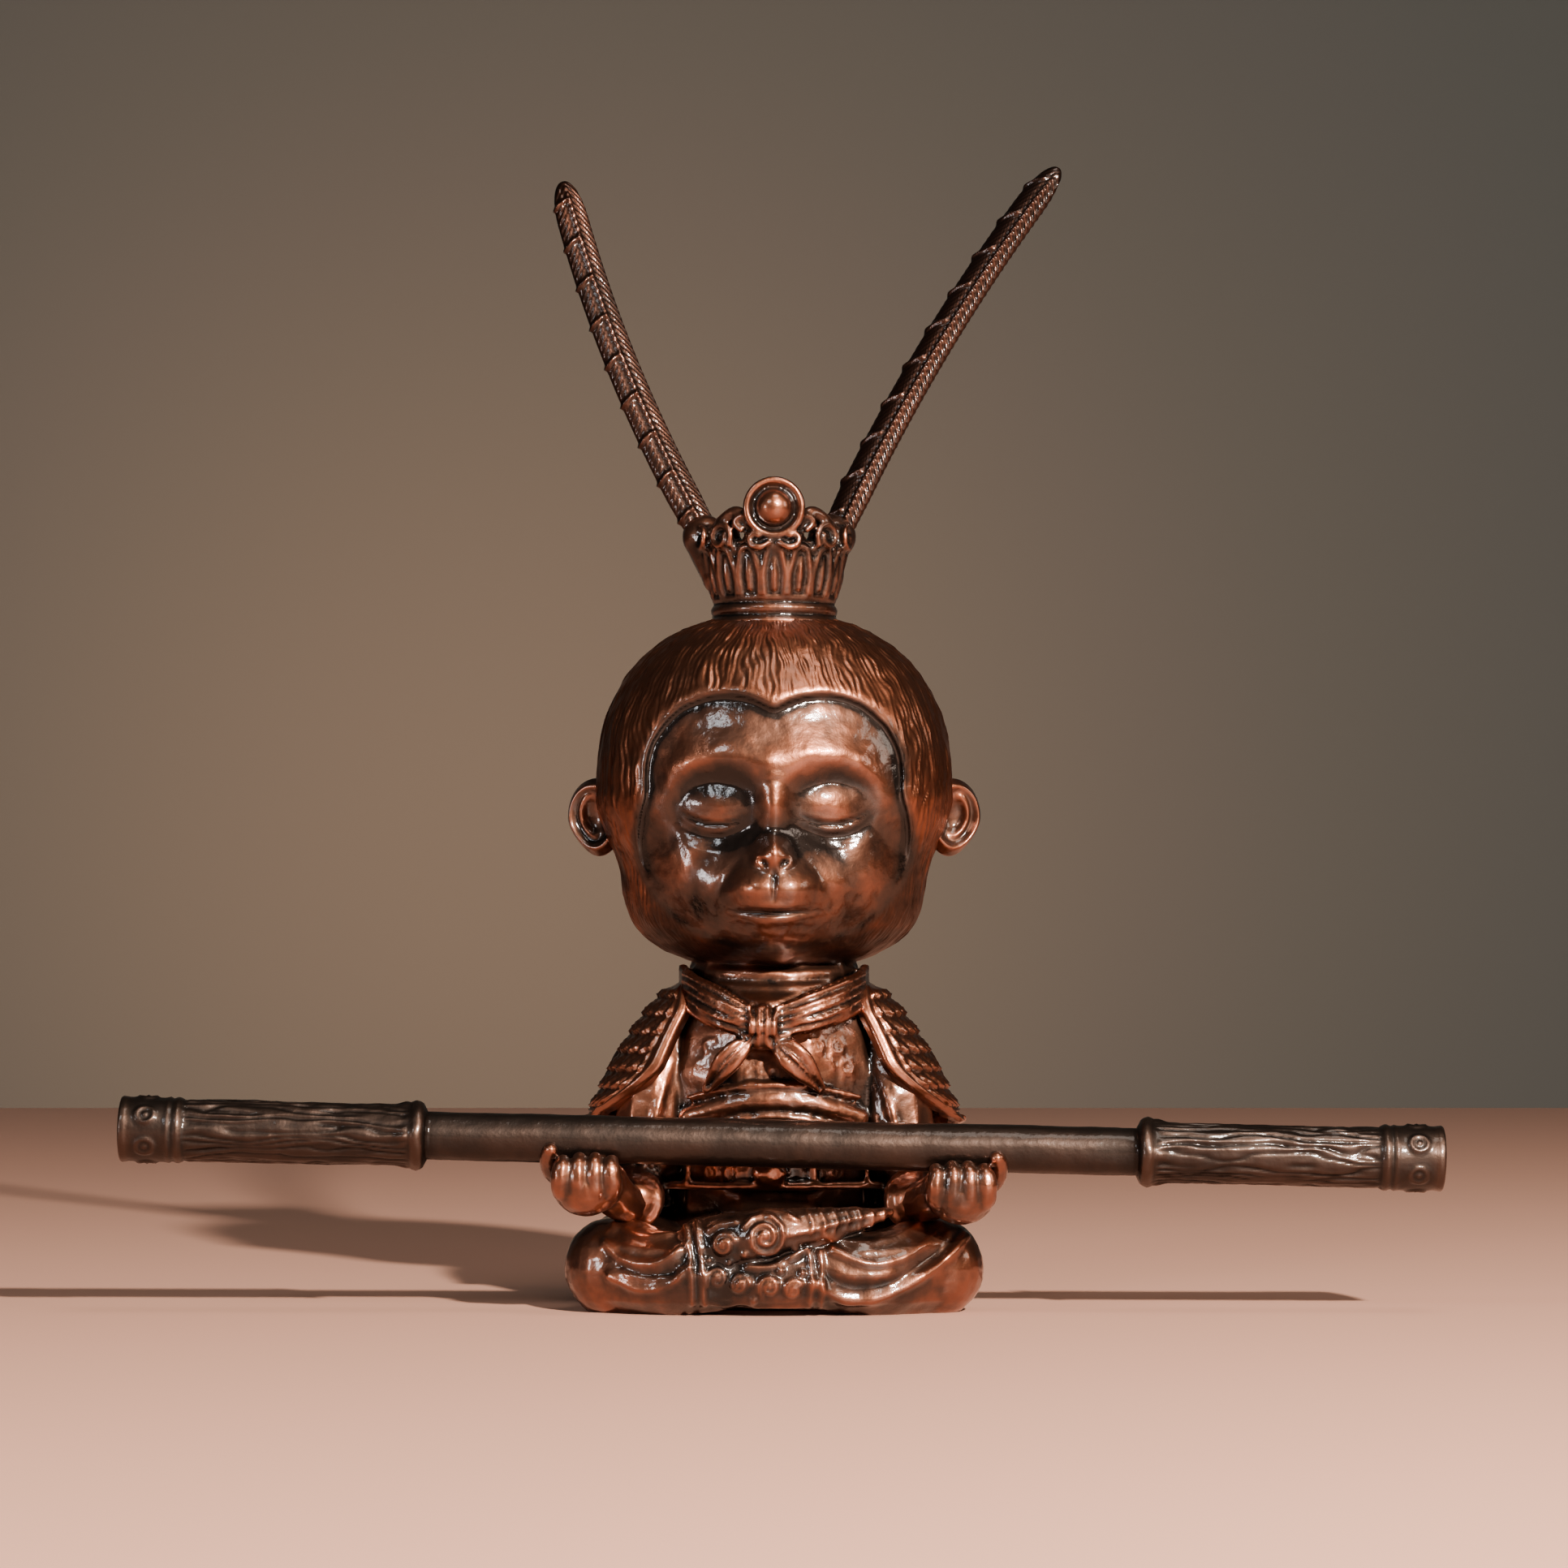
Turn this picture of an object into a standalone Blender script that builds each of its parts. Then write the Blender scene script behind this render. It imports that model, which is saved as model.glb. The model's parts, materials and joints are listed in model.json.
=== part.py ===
"""Seated monkey of cast bronze, with two plumes in its crown and a staff across its open hands.

Metres, +Z up. The figure faces -Y. The origin is on the floor, under the middle of the figure.
The figure is one casting, modelled in figure units: 75.7 of them are its height to the crown's top,
so one unit is a millimetre at the real size.
"""
import math

import bmesh
import bpy
import numpy as np
from mathutils import Euler, Matrix, Vector

# Driving dimensions
FIGURE_HEIGHT = 0.0757
STAFF_LENGTH = 0.118
SHAFT_DIAMETER = 0.0043
GRIP_DIAMETER = 0.0054
GRIP_LENGTH = 0.0205
COLLAR_DIAMETER = 0.0060
COLLAR_WIDTH = 0.0011
NECK_WIDTH = 0.0009
CAP_DIAMETER = 0.0059
CAP_LENGTH = 0.0046
PLUME_LENGTHS = {"left": 0.0370, "right": 0.0405}
PLUME_WIDTH = 0.0034
PLUME_THICKNESS = 0.0019
PLUME_BOW = 0.0013
PEG_DIAMETER = 0.0015
PEG_LENGTH = 0.0024
CLEARANCE = 0.0003

# Counts and fineness
STAFF_SIDES = 20
PLUME_SIDES = 10
PLUME_RINGS = 18
CROWN_PETALS = 10
CUTTER_SIDES = 20
FIGURE_FACES = 7300
VOXEL = 0.38
MERGE = 1e-7

# Where the separate pieces meet the figure, in figure units
UNIT = FIGURE_HEIGHT / 75.7
STAFF_CENTRE = (0.7, -11.6, 15.2)
STAFF_SLOPE = -0.0228
HAND_X = 16.4
PLUME_ROOTS = {"left": (-6.5, 0.8, 70.6), "right": (5.6, 0.8, 70.6)}
PLUME_LEANS = {"left": (-0.395, 0.22), "right": (0.6, 0.12)}
PLUME_TURNS = {"left": 24.0, "right": -30.0}
SIDES = (-1, 1)


def clear_scene():
    for obj in list(bpy.data.objects):
        bpy.data.objects.remove(obj)


def collection(name):
    made = bpy.data.collections.new(name)
    bpy.context.scene.collection.children.link(made)
    return made


def metal(name, colour, roughness):
    material = bpy.data.materials.new(name)
    material.use_nodes = True
    shader = material.node_tree.nodes["Principled BSDF"]
    shader.inputs["Base Color"].default_value = (*colour, 1.0)
    shader.inputs["Metallic"].default_value = 1.0
    shader.inputs["Roughness"].default_value = roughness
    return material


def object_of(name, bm, group, material=None):
    mesh = bpy.data.meshes.new(name)
    bm.to_mesh(mesh)
    bm.free()
    obj = bpy.data.objects.new(name, mesh)
    group.objects.link(obj)
    if material:
        mesh.materials.append(material)
    return obj


def smoothstep(low, high, value):
    share = np.clip((value - low) / (high - low), 0.0, 1.0)
    return share * share * (3.0 - 2.0 * share)


def mound(distance):
    """A soft round rise: 1 at the middle, 0 from a distance of 1 on."""
    return np.clip(1.0 - distance**2, 0.0, 1.0) ** 2


def ridge(distance, width):
    return np.exp(-((distance / width) ** 2))


def lofted(rings):
    """A closed mesh through rings of points, each with as many points, and a flat cap at both ends."""
    bm = bmesh.new()
    loops = [[bm.verts.new(point) for point in ring] for ring in rings]
    for low, high in zip(loops, loops[1:]):
        for step in range(len(low)):
            bm.faces.new((low[step - 1], low[step], high[step], high[step - 1]))
    bm.faces.new(loops[0])
    bm.faces.new(loops[-1])
    bmesh.ops.recalc_face_normals(bm, faces=bm.faces)
    return bm


# Forms that the figure is built up from, each closed, in figure units


def turned(name, profile, sides, group, material=None):
    """A form turned on the Z axis, from (radius, height) pairs that run down its outer side."""
    bm = bmesh.new()
    line = [bm.verts.new((radius, 0.0, height)) for radius, height in profile]
    for pair in zip(line, line[1:]):
        bm.edges.new(pair)
    obj = object_of(name, bm, group, material)
    screw = obj.modifiers.new("Turn", "SCREW")
    screw.steps = screw.render_steps = sides
    screw.use_merge_vertices = True
    screw.merge_threshold = MERGE
    screw.use_smooth_shade = False
    return obj


def ball(clay, centre, radii, turn=(0, 0, 0)):
    matrix = (
        Matrix.Translation(centre)
        @ Euler([math.radians(a) for a in turn]).to_matrix().to_4x4()
        @ Matrix.Diagonal((*radii, 1.0))
    )
    bm = bmesh.new()
    bmesh.ops.create_uvsphere(bm, u_segments=16, v_segments=10, radius=1.0, matrix=matrix)
    object_of("ball", bm, clay)


def limb(clay, points, radii, closed=False, squash=(1, 1, 1)):
    """A smooth round bar through the points, as thick as the radii say, with rounded ends."""
    if np.isscalar(radii):
        radii = [radii] * len(points)
    data = bpy.data.curves.new("limb", "CURVE")
    data.dimensions = "3D"
    data.resolution_u = 4
    data.bevel_depth = 1.0
    data.bevel_resolution = 2
    data.use_fill_caps = True
    spline = data.splines.new("BEZIER")
    spline.bezier_points.add(len(points) - 1)
    spline.use_cyclic_u = closed
    for knot, point, radius in zip(spline.bezier_points, points, radii):
        knot.co = point
        knot.radius = radius
        knot.handle_left_type = knot.handle_right_type = "AUTO"
    curve = bpy.data.objects.new("limb", data)
    curve.matrix_world = Matrix.Diagonal((*squash, 1.0))
    clay.objects.link(curve)
    if not closed:
        for end in (0, -1):
            ball(clay, Vector(points[end]) * Vector(squash), [radii[end] * s for s in squash])


def hoop(clay, centre, across, deep, radius, front_drop=0.0, turn=(0, 0, 0)):
    """A closed round bar on an ellipse, whose front can hang lower than its back."""
    spin = Euler([math.radians(a) for a in turn]).to_matrix()
    points = []
    for step in range(16):
        angle = step * math.tau / 16
        drop = front_drop * (1 + math.cos(angle)) / 2
        flat = Vector((across * math.sin(angle), -deep * math.cos(angle), -drop))
        points.append(Vector(centre) + spin @ flat)
    limb(clay, points, radius, closed=True)


# Head

HEAD_LOW, HEAD_MIDDLE, HEAD_HIGH = 30.5, 46.6, 63.2
HEAD_HALF_WIDTH = 16.3
HEAD_FRONT, HEAD_BACK = 13.4, 14.6
DOME_POWER, JAW_POWER = 2.4, 2.6
JAW_TAPER = 0.095
EYE = (5.4, 45.4)
LID_RADIUS = 2.75
MUZZLE = (0.0, 37.5)
HAIR_STEP = 0.6


def hairline(x, z):
    """Above 0 inside the bare face: two round brows with a soft peak between them."""
    brows = 5.9 - np.hypot(np.abs(x) - 5.7, z - 48.9)
    cheeks = 11.7 * (1.0 - np.hypot(x / 11.7, (z - 43.5) / 9.0))
    return np.log(np.exp(3.0 * brows) + np.exp(3.0 * cheeks)) / 3.0


def face_relief(x, z):
    """How far the face stands out at x, z."""
    ax = np.abs(x)
    eye = np.hypot((ax - EYE[0]) / 1.12, z - EYE[1])
    muzzle = np.hypot(x / 5.7, (z - MUZZLE[1]) / 4.6)
    edge = hairline(x, z)
    cheek_fade = smoothstep(35.5, 41.0, z)
    rise = -HAIR_STEP * smoothstep(-0.25, 0.25, edge) * cheek_fade
    rise += 0.3 * ridge(edge + 0.55, 0.5) * cheek_fade
    rise += 0.75 * ridge(eye - 4.9, 1.0) * smoothstep(44.5, 47.5, z) * (edge > 0)
    rise -= 1.7 * mound(eye / 4.9)
    lid = np.clip(1.0 - (eye / LID_RADIUS) ** 2, 0.0, 1.0) ** 0.7
    rise += 2.2 * lid
    shut = z - (43.7 + 0.08 * (ax - EYE[0]) ** 2)
    rise += (0.4 * ridge(shut + 0.75, 0.4) - 0.55 * ridge(shut, 0.28)) * mound((ax - EYE[0]) / 3.4)
    rise += 0.9 * ridge(x, 1.1) * smoothstep(39.5, 42.0, z) * (1 - smoothstep(44.0, 50.0, z))
    rise += 2.8 * np.clip(1.0 - muzzle**2, 0.0, 1.0) ** 0.8
    rise += 0.6 * mound(np.hypot((ax - 2.1) / 2.5, (z - 38.2) / 2.3))
    rise += 1.1 * mound(np.hypot(x / 1.9, (z - 41.0) / 1.3))
    rise -= 0.9 * mound(np.hypot((ax - 0.95) / 0.6, (z - 40.4) / 0.55))
    rise -= 0.4 * ridge(x, 0.3) * mound((z - 38.4) / 2.0)
    mouth = z - (35.5 + 0.01 * x**2)
    rise += (0.35 * ridge(mouth + 0.85, 0.5) - 0.8 * ridge(mouth, 0.3)) * mound(x / 5.6)
    rise += 1.5 * mound(np.hypot(x / 4.6, (z - 32.8) / 2.8))
    rise += 1.1 * mound(np.hypot((ax - 7.7) / 4.0, (z - 39.4) / 4.0))
    rise -= 0.45 * ridge(muzzle - 1.06, 0.1) * smoothstep(34.0, 36.5, z)
    return rise


def head_points(directions):
    """The head's skin in each direction from its middle."""
    across = np.hypot(directions[:, 0], directions[:, 1]) + 1e-9
    sine, cosine = directions[:, 0] / across, -directions[:, 1] / across
    tall = directions[:, 2]
    power = np.where(tall > 0, DOME_POWER, JAW_POWER)
    girth = np.clip(1.0 - np.abs(tall) ** power, 0.0, 1.0) ** (1.0 / power)
    below = np.clip(-tall / 0.85, 0.0, 1.0)
    girth *= 1.0 - JAW_TAPER * np.sin(math.pi * below) ** 2
    height = np.where(tall > 0, HEAD_HIGH - HEAD_MIDDLE, HEAD_MIDDLE - HEAD_LOW)
    x = HEAD_HALF_WIDTH * girth * sine
    y = -np.where(cosine > 0, HEAD_FRONT, HEAD_BACK) * girth * cosine
    z = HEAD_MIDDLE + height * tall
    y -= face_relief(x, z) * smoothstep(0.1, 0.45, cosine)
    return np.stack([x, y, z], axis=1)


def head(clay):
    skull = bmesh.new()
    bmesh.ops.create_icosphere(skull, subdivisions=6, radius=1.0)
    rough = np.array([v.co for v in skull.verts])
    for vertex, point in zip(skull.verts, head_points(rough)):
        vertex.co = point
    object_of("skull", skull, clay)


def ears(clay):
    for side in SIDES:
        ball(clay, (side * 15.6, 1.2, 44.6), (2.6, 1.1, 3.0), turn=(0, 0, side * -20))
        rim = []
        for step in range(8):
            angle = math.radians(-75 + step * 34)
            rim.append((side * (15.9 + 2.3 * math.cos(angle)), 0.4, 45.2 + 2.75 * math.sin(angle)))
        limb(clay, rim, [0.7] + [0.62] * 6 + [0.5])
        limb(clay, [(side * 16.4, 0.2, 43.2), (side * 17.1, 0.1, 45.0), (side * 16.3, 0.2, 46.7)], 0.42)
        ball(clay, (side * 15.2, 0.9, 42.0), (1.5, 1.0, 1.6))


# Crown

CROWN_AXIS = (0.0, 0.3)
CROWN_SIDES = 32
CROWN_WALL = (
    (0.0, 68.4), (4.4, 68.4), (4.9, 69.8), (6.5, 69.6), (6.5, 68.0),
    (5.75, 65.0), (5.2, 64.3), (5.75, 61.8), (5.2, 60.0), (0.0, 60.0),
)


def crown(clay):
    wall = turned("crown", CROWN_WALL, CROWN_SIDES, clay)
    wall.location = (*CROWN_AXIS, 0.0)
    hoop(clay, (*CROWN_AXIS, 63.1), 5.5, 5.5, 0.75)
    for step in range(CROWN_PETALS):
        petal(clay, step * math.tau / CROWN_PETALS)
        scroll(clay, (step + 0.5) * math.tau / CROWN_PETALS)
    boss(clay)


def on_crown(angle, out, z, side=0.0):
    """A point on the crown: angle from the front, distance from its axis, height, and shift sideways."""
    sine, cosine = math.sin(angle), math.cos(angle)
    return (CROWN_AXIS[0] + out * sine + side * cosine, CROWN_AXIS[1] - out * cosine + side * sine, z)


def petal(clay, angle):
    feet, waist, top = (5.55, 64.7), (6.25, 67.4), (6.65, 68.9)
    arch = [
        on_crown(angle, feet[0], feet[1], -1.15),
        on_crown(angle, waist[0], waist[1], -1.15),
        on_crown(angle, top[0], top[1]),
        on_crown(angle, waist[0], waist[1], 1.15),
        on_crown(angle, feet[0], feet[1], 1.15),
    ]
    limb(clay, arch, 0.42)
    limb(clay, [on_crown(angle, 5.6, 65.0), on_crown(angle, 6.2, 67.3)], [0.5, 0.42])


def scroll(clay, angle):
    ring = []
    for step in range(7):
        turn = math.radians(-120 + step * 55)
        ring.append(on_crown(angle, 6.5, 70.2 + 1.1 * math.sin(turn), 1.15 * math.cos(turn)))
    limb(clay, ring, 0.45)
    ball(clay, on_crown(angle, 6.3, 70.2), (0.7, 0.7, 0.7))
    ball(clay, on_crown(angle, 5.9, 69.9), (1.2, 1.2, 1.4))


def boss(clay):
    """The round boss at the crown's front, with a raised rim and a bead, on a foot of its own."""
    ball(clay, (0, -5.6, 72.3), (2.5, 1.2, 2.5))
    ball(clay, (0, -5.3, 69.6), (2.6, 1.3, 2.2))
    hoop(clay, (0, -6.5, 72.4), 2.4, 2.4, 0.6, turn=(90, 0, 0))
    ball(clay, (0, -6.9, 72.45), (1.6, 1.5, 1.65))
    for side in SIDES:
        limb(
            clay,
            [(side * 2.2, -5.6, 71.0), (side * 3.6, -4.9, 71.9), (side * 5.2, -3.6, 71.0)],
            [0.8, 0.95, 0.8],
        )


# Body


def torso(clay):
    spine = [(0, 0.4, z) for z in (2.0, 6.0, 10.0, 14.0, 18.0, 22.0, 25.5, 28.5, 33.0)]
    limb(clay, spine, [12.6, 12.8, 10.8, 10.2, 10.4, 10.6, 9.8, 8.4, 7.4], squash=(1, 0.8, 1))
    ball(clay, (0, 4.5, 6.5), (13.0, 8.6, 7.5))
    ball(clay, (0, -1.2, 15.0), (8.6, 7.2, 6.5))


def scarf(clay):
    """Folds round the neck, drawn to a knot with two hanging ends."""
    for height, across, drop, radius in (
        (31.4, 7.7, 1.6, 1.0),
        (30.6, 8.1, 2.8, 1.0),
        (29.6, 8.5, 3.6, 1.0),
        (28.4, 8.8, 3.2, 0.95),
    ):
        hoop(clay, (0, 0.2, height), across, across * 0.88, radius, front_drop=drop)
    for side in SIDES:
        for low in (0.0, 1.6):
            shoulder = (side * 8.4, -2.6, 30.4 - low)
            breast = (side * 5.2, -7.4, 28.0 - low)
            knot = (side * 0.6, -9.3, 25.9 - low * 0.4)
            limb(clay, [shoulder, breast, knot], [0.8, 1.15, 0.8])
    ball(clay, (0, -8.6, 25.3), (1.6, 1.5, 2.2))
    for shift in (-0.75, 0.0, 0.75):
        limb(clay, [(shift * 1.3, -9.0, 26.8), (shift, -9.5, 25.2), (shift * 1.2, -8.9, 23.6)], 0.4)
    tail(clay, -1, (5.5, -8.0, 19.6))
    tail(clay, 1, (4.6, -8.2, 20.0))


def tail(clay, side, tip):
    middle = (side * 3.4, -8.7, 22.4)
    end = (side * tip[0], tip[1], tip[2])
    limb(clay, [(side * 1.0, -8.8, 24.4), middle, end], [0.7, 1.15, 0.3])
    limb(clay, [(side * 1.5, -8.9, 25.6), (side * 3.8, -8.4, 24.2), end], [0.6, 0.5, 0.25])


def jacket(clay):
    """The open front, its edges, the belt and the skirt below it."""
    for side in SIDES:
        edge = [(6.6, -5.9, 27.2), (6.3, -7.5, 23.0), (6.9, -7.6, 18.5), (7.3, -7.0, 13.0)]
        limb(clay, [(side * x, y, z) for x, y, z in edge], [0.7, 0.75, 0.75, 0.6])
        limb(
            clay,
            [(side * 9.0, -4.2, 26.0), (side * 9.6, -5.2, 21.0), (side * 10.0, -4.8, 14.5)],
            [1.4, 1.6, 1.4],
        )
    for height, radius in ((19.3, 0.62), (17.9, 0.55)):
        belt = []
        for x in (-7.0, -3.6, 0.0, 3.6, 7.0):
            belt.append((x, -8.3 + 0.028 * x * x, height - 0.013 * x * x))
        limb(clay, belt, radius)
    ball(clay, (0, -8.2, 12.6), (1.9, 0.9, 1.3))
    hem = [(x, -7.6 + 0.02 * x * x, 12.2) for x in (-9.0, -4.5, 0.0, 4.5, 9.0)]
    limb(clay, hem, 0.6)


CAPE_HIGH, CAPE_LOW = 29.4, 17.3
CAPE_OPEN, CAPE_CORNER = 42.0, 78.0
CAPE_THICKNESS = 1.0


def cape_point(share, drop):
    """A point of the shoulder cape: share -1 to 1 from one front edge round the back to the other."""
    opening = CAPE_OPEN + (CAPE_CORNER - CAPE_OPEN) * drop**5
    angle = math.radians(share * (180.0 - opening))
    across = 8.3 + 9.4 * drop**0.64
    deep = 6.9 + 4.6 * drop**0.8
    low = CAPE_LOW - 1.2 * math.cos(angle / 2) ** 2 * drop
    height = CAPE_HIGH + (low - CAPE_HIGH) * drop
    return Vector((across * math.sin(angle), 0.6 + deep * math.cos(angle), height))


def cape(clay):
    """A short cape over both shoulders: a bent sheet with thickness, rolled hems and rows of scales."""
    columns, rows = 48, 14
    sheet = bmesh.new()
    bmesh.ops.create_grid(sheet, x_segments=columns, y_segments=rows, size=1.0)
    for vertex in sheet.verts:
        vertex.co = cape_point(vertex.co.x, (1.0 - vertex.co.y) / 2.0)
    bmesh.ops.recalc_face_normals(sheet, faces=sheet.faces)
    bmesh.ops.solidify(sheet, geom=sheet.faces[:], thickness=CAPE_THICKNESS)
    object_of("cape", sheet, clay)
    hem = [cape_point(-1.0, d) for d in (0.05, 0.3, 0.55, 0.8, 0.93)]
    hem += [cape_point(s / 8.0, 1.0) for s in range(-7, 8)]
    hem += [cape_point(1.0, d) for d in (0.93, 0.8, 0.55, 0.3, 0.05)]
    limb(clay, hem, 0.62)
    for row in range(5):
        drop = 0.28 + 0.15 * row
        count = 11 + row
        for step in range(count):
            share = (step + 0.5 * (row % 2) + 0.25) / count * 1.8 - 0.92
            ball(clay, cape_point(share, drop), (0.95, 0.95, 0.95))


def arm(clay, side):
    limb(
        clay,
        [(side * 9.0, 0.8, 24.5), (side * 13.0, 2.0, 20.0), (side * 13.6, 1.8, 15.0)],
        [3.2, 3.4, 3.2],
    )
    limb(
        clay,
        [(side * 13.4, 1.6, 14.0), (side * 12.8, -3.5, 11.4), (side * 12.6, -7.6, 9.9)],
        [3.3, 2.8, 2.3],
    )
    limb(clay, [(side * 12.4, -7.4, 9.8), (side * 14.4, -9.8, 9.6)], [1.9, 2.0])
    hoop(clay, (side * 12.6, -7.4, 9.9), 2.3, 2.3, 0.5, turn=(80, 0, side * 25))


def staff_height(x):
    return STAFF_CENTRE[2] + STAFF_SLOPE * (x - STAFF_CENTRE[0])


def hand(clay, side):
    """Palm up under the staff, four fingers curled in front of it and the thumb outside."""
    seat = staff_height(side * HAND_X) - SHAFT_DIAMETER / 2 / UNIT
    front = STAFF_CENTRE[1] - SHAFT_DIAMETER / 2 / UNIT
    ball(clay, (side * 16.8, -10.8, seat - 1.8), (4.0, 3.4, 2.6), turn=(0, side * 8, 0))
    for step in range(4):
        x = side * (HAND_X + (step - 1.3) * 1.55)
        lift = 0.5 * math.sin(math.pi * (step + 0.5) / 4)
        sag = 0.45 * math.sin(math.pi * (step + 0.5) / 4)
        limb(
            clay,
            [
                (x * 0.97, -11.0, seat - 2.6 - sag),
                (x, front - 0.5, seat - 2.7 - sag),
                (x * 1.01, front - 1.35, seat - 0.7),
                (x * 1.015, front - 0.6, seat + 0.9 + lift),
            ],
            [0.95, 1.0, 0.92, 0.7],
        )
    limb(
        clay,
        [(side * 19.4, -9.8, seat - 1.6), (side * 20.6, -11.4, seat - 0.4), (side * 20.4, -13.0, seat + 0.9)],
        [1.1, 0.85, 0.66],
    )


CUFFS = {-1: -7.0, 1: 2.9}


def leg(clay, side):
    limb(
        clay,
        [(side * 7.0, 3.0, 4.6), (side * 12.2, -2.5, 4.1), (side * 14.3, -7.6, 3.8)],
        [5.2, 4.9, 4.6],
    )
    limb(
        clay,
        [(side * 14.3, -7.6, 3.8), (side * 9.0, -11.0, 3.5), (side * 2.0, -12.4, 3.7)],
        [4.5, 3.9, 3.1],
    )
    for start, middle, end in (
        ((17.6, -8.8, 6.9), (13.0, -12.4, 5.6), (7.4, -14.0, 6.2)),
        ((17.9, -9.6, 4.4), (12.6, -13.2, 3.2), (7.4, -14.4, 4.2)),
        ((15.5, -5.5, 8.4), (11.6, -9.6, 7.9), (7.6, -12.2, 7.2)),
    ):
        limb(
            clay,
            [(side * start[0], *start[1:]), (side * middle[0], *middle[1:]), (side * end[0], *end[1:])],
            [0.35, 0.62, 0.35],
        )
    cuff = CUFFS[side]
    for shift in (0.0, side * 1.1):
        hoop(clay, (cuff + shift, -12.1, 3.9), 3.4, 3.4, 0.5, turn=(90, 0, 90 - side * 12))


def feet(clay):
    """One booted foot laid over the other at the front, with a raised spiral on the upper one."""
    limb(clay, [(6.0, -12.4, 3.2), (0.0, -13.2, 3.1), (-4.6, -12.8, 3.2)], [2.8, 2.7, 2.3])
    upper = [(-6.2, -11.8, 6.0), (-2.5, -13.2, 7.0), (3.0, -13.4, 7.6), (7.6, -12.4, 8.2), (10.4, -11.2, 8.5)]
    limb(clay, upper, [1.5, 2.1, 1.9, 1.25, 0.5])
    spiral = []
    for step in range(12):
        turn = step * 0.95
        reach = 0.35 + 0.16 * step
        spiral.append((-0.8 + reach * math.cos(turn), -15.2 + 0.1 * reach, 6.8 + reach * math.sin(turn)))
    limb(clay, spiral, 0.4)
    for x in (3.6, 5.4, 7.2):
        low, middle = (x, -14.8, 6.4 + 0.1 * x), (x + 0.5, -14.9, 7.4 + 0.1 * x)
        limb(clay, [low, middle, (x, -13.9, 8.5 + 0.06 * x)], 0.34)
    for x in (-3.6, -1.2, 1.4):
        hoop(clay, (x, -15.3, 2.6), 0.95, 0.95, 0.34, turn=(90, 0, 0))


# Cutters


def bar_between(name, start, end, radius, group):
    """A round cutter from one point to another, in metres."""
    start, end = Vector(start), Vector(end)
    axis = end - start
    matrix = Matrix.Translation((start + end) / 2) @ axis.to_track_quat("Z", "Y").to_matrix().to_4x4()
    size = {"segments": CUTTER_SIDES, "radius1": radius, "radius2": radius, "depth": axis.length}
    bm = bmesh.new()
    bmesh.ops.create_cone(bm, cap_ends=True, matrix=matrix, **size)
    return cutter(object_of(name, bm, group))


def cutter(obj):
    obj.hide_render = True
    obj.display_type = "WIRE"
    return obj


def cut(obj, tool):
    modifier = obj.modifiers.new("Cut " + tool.name, "BOOLEAN")
    modifier.operation = "DIFFERENCE"
    modifier.object = tool


def staff_axis():
    return Vector((1.0, 0.0, STAFF_SLOPE)).normalized()


def plume_stance(name):
    """How the plume leans: a rotation from upright."""
    lean, back = PLUME_LEANS[name]
    return Euler((-math.atan(back), math.atan(lean), 0.0)).to_matrix()


def plume_axis(name):
    return plume_stance(name) @ Vector((0.0, 0.0, 1.0))


def plume_root(name):
    return Vector(PLUME_ROOTS[name]) * UNIT


def plume_sockets(clay):
    for name in PLUME_LEANS:
        root, axis = plume_root(name) / UNIT, plume_axis(name)
        limb(clay, [root - axis * 4.2, root - axis * 0.3], [2.3, 2.1])


def joined(name, clay, group, material):
    """All the forms in the collection as one mesh object, in metres, and the collection emptied."""
    bpy.ops.object.select_all(action="DESELECT")
    for form in clay.objects:
        form.select_set(True)
    bpy.context.view_layer.objects.active = clay.objects[0]
    bpy.ops.object.convert(target="MESH")
    bpy.ops.object.join()
    whole = bpy.context.view_layer.objects.active
    bm = bmesh.new()
    bm.from_mesh(whole.data)
    bmesh.ops.transform(bm, matrix=Matrix.Scale(UNIT, 4) @ whole.matrix_world, verts=bm.verts)
    bmesh.ops.remove_doubles(bm, verts=bm.verts, dist=MERGE)
    bpy.data.objects.remove(whole)
    bpy.data.collections.remove(clay)
    return object_of(name, bm, group, material)


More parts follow.
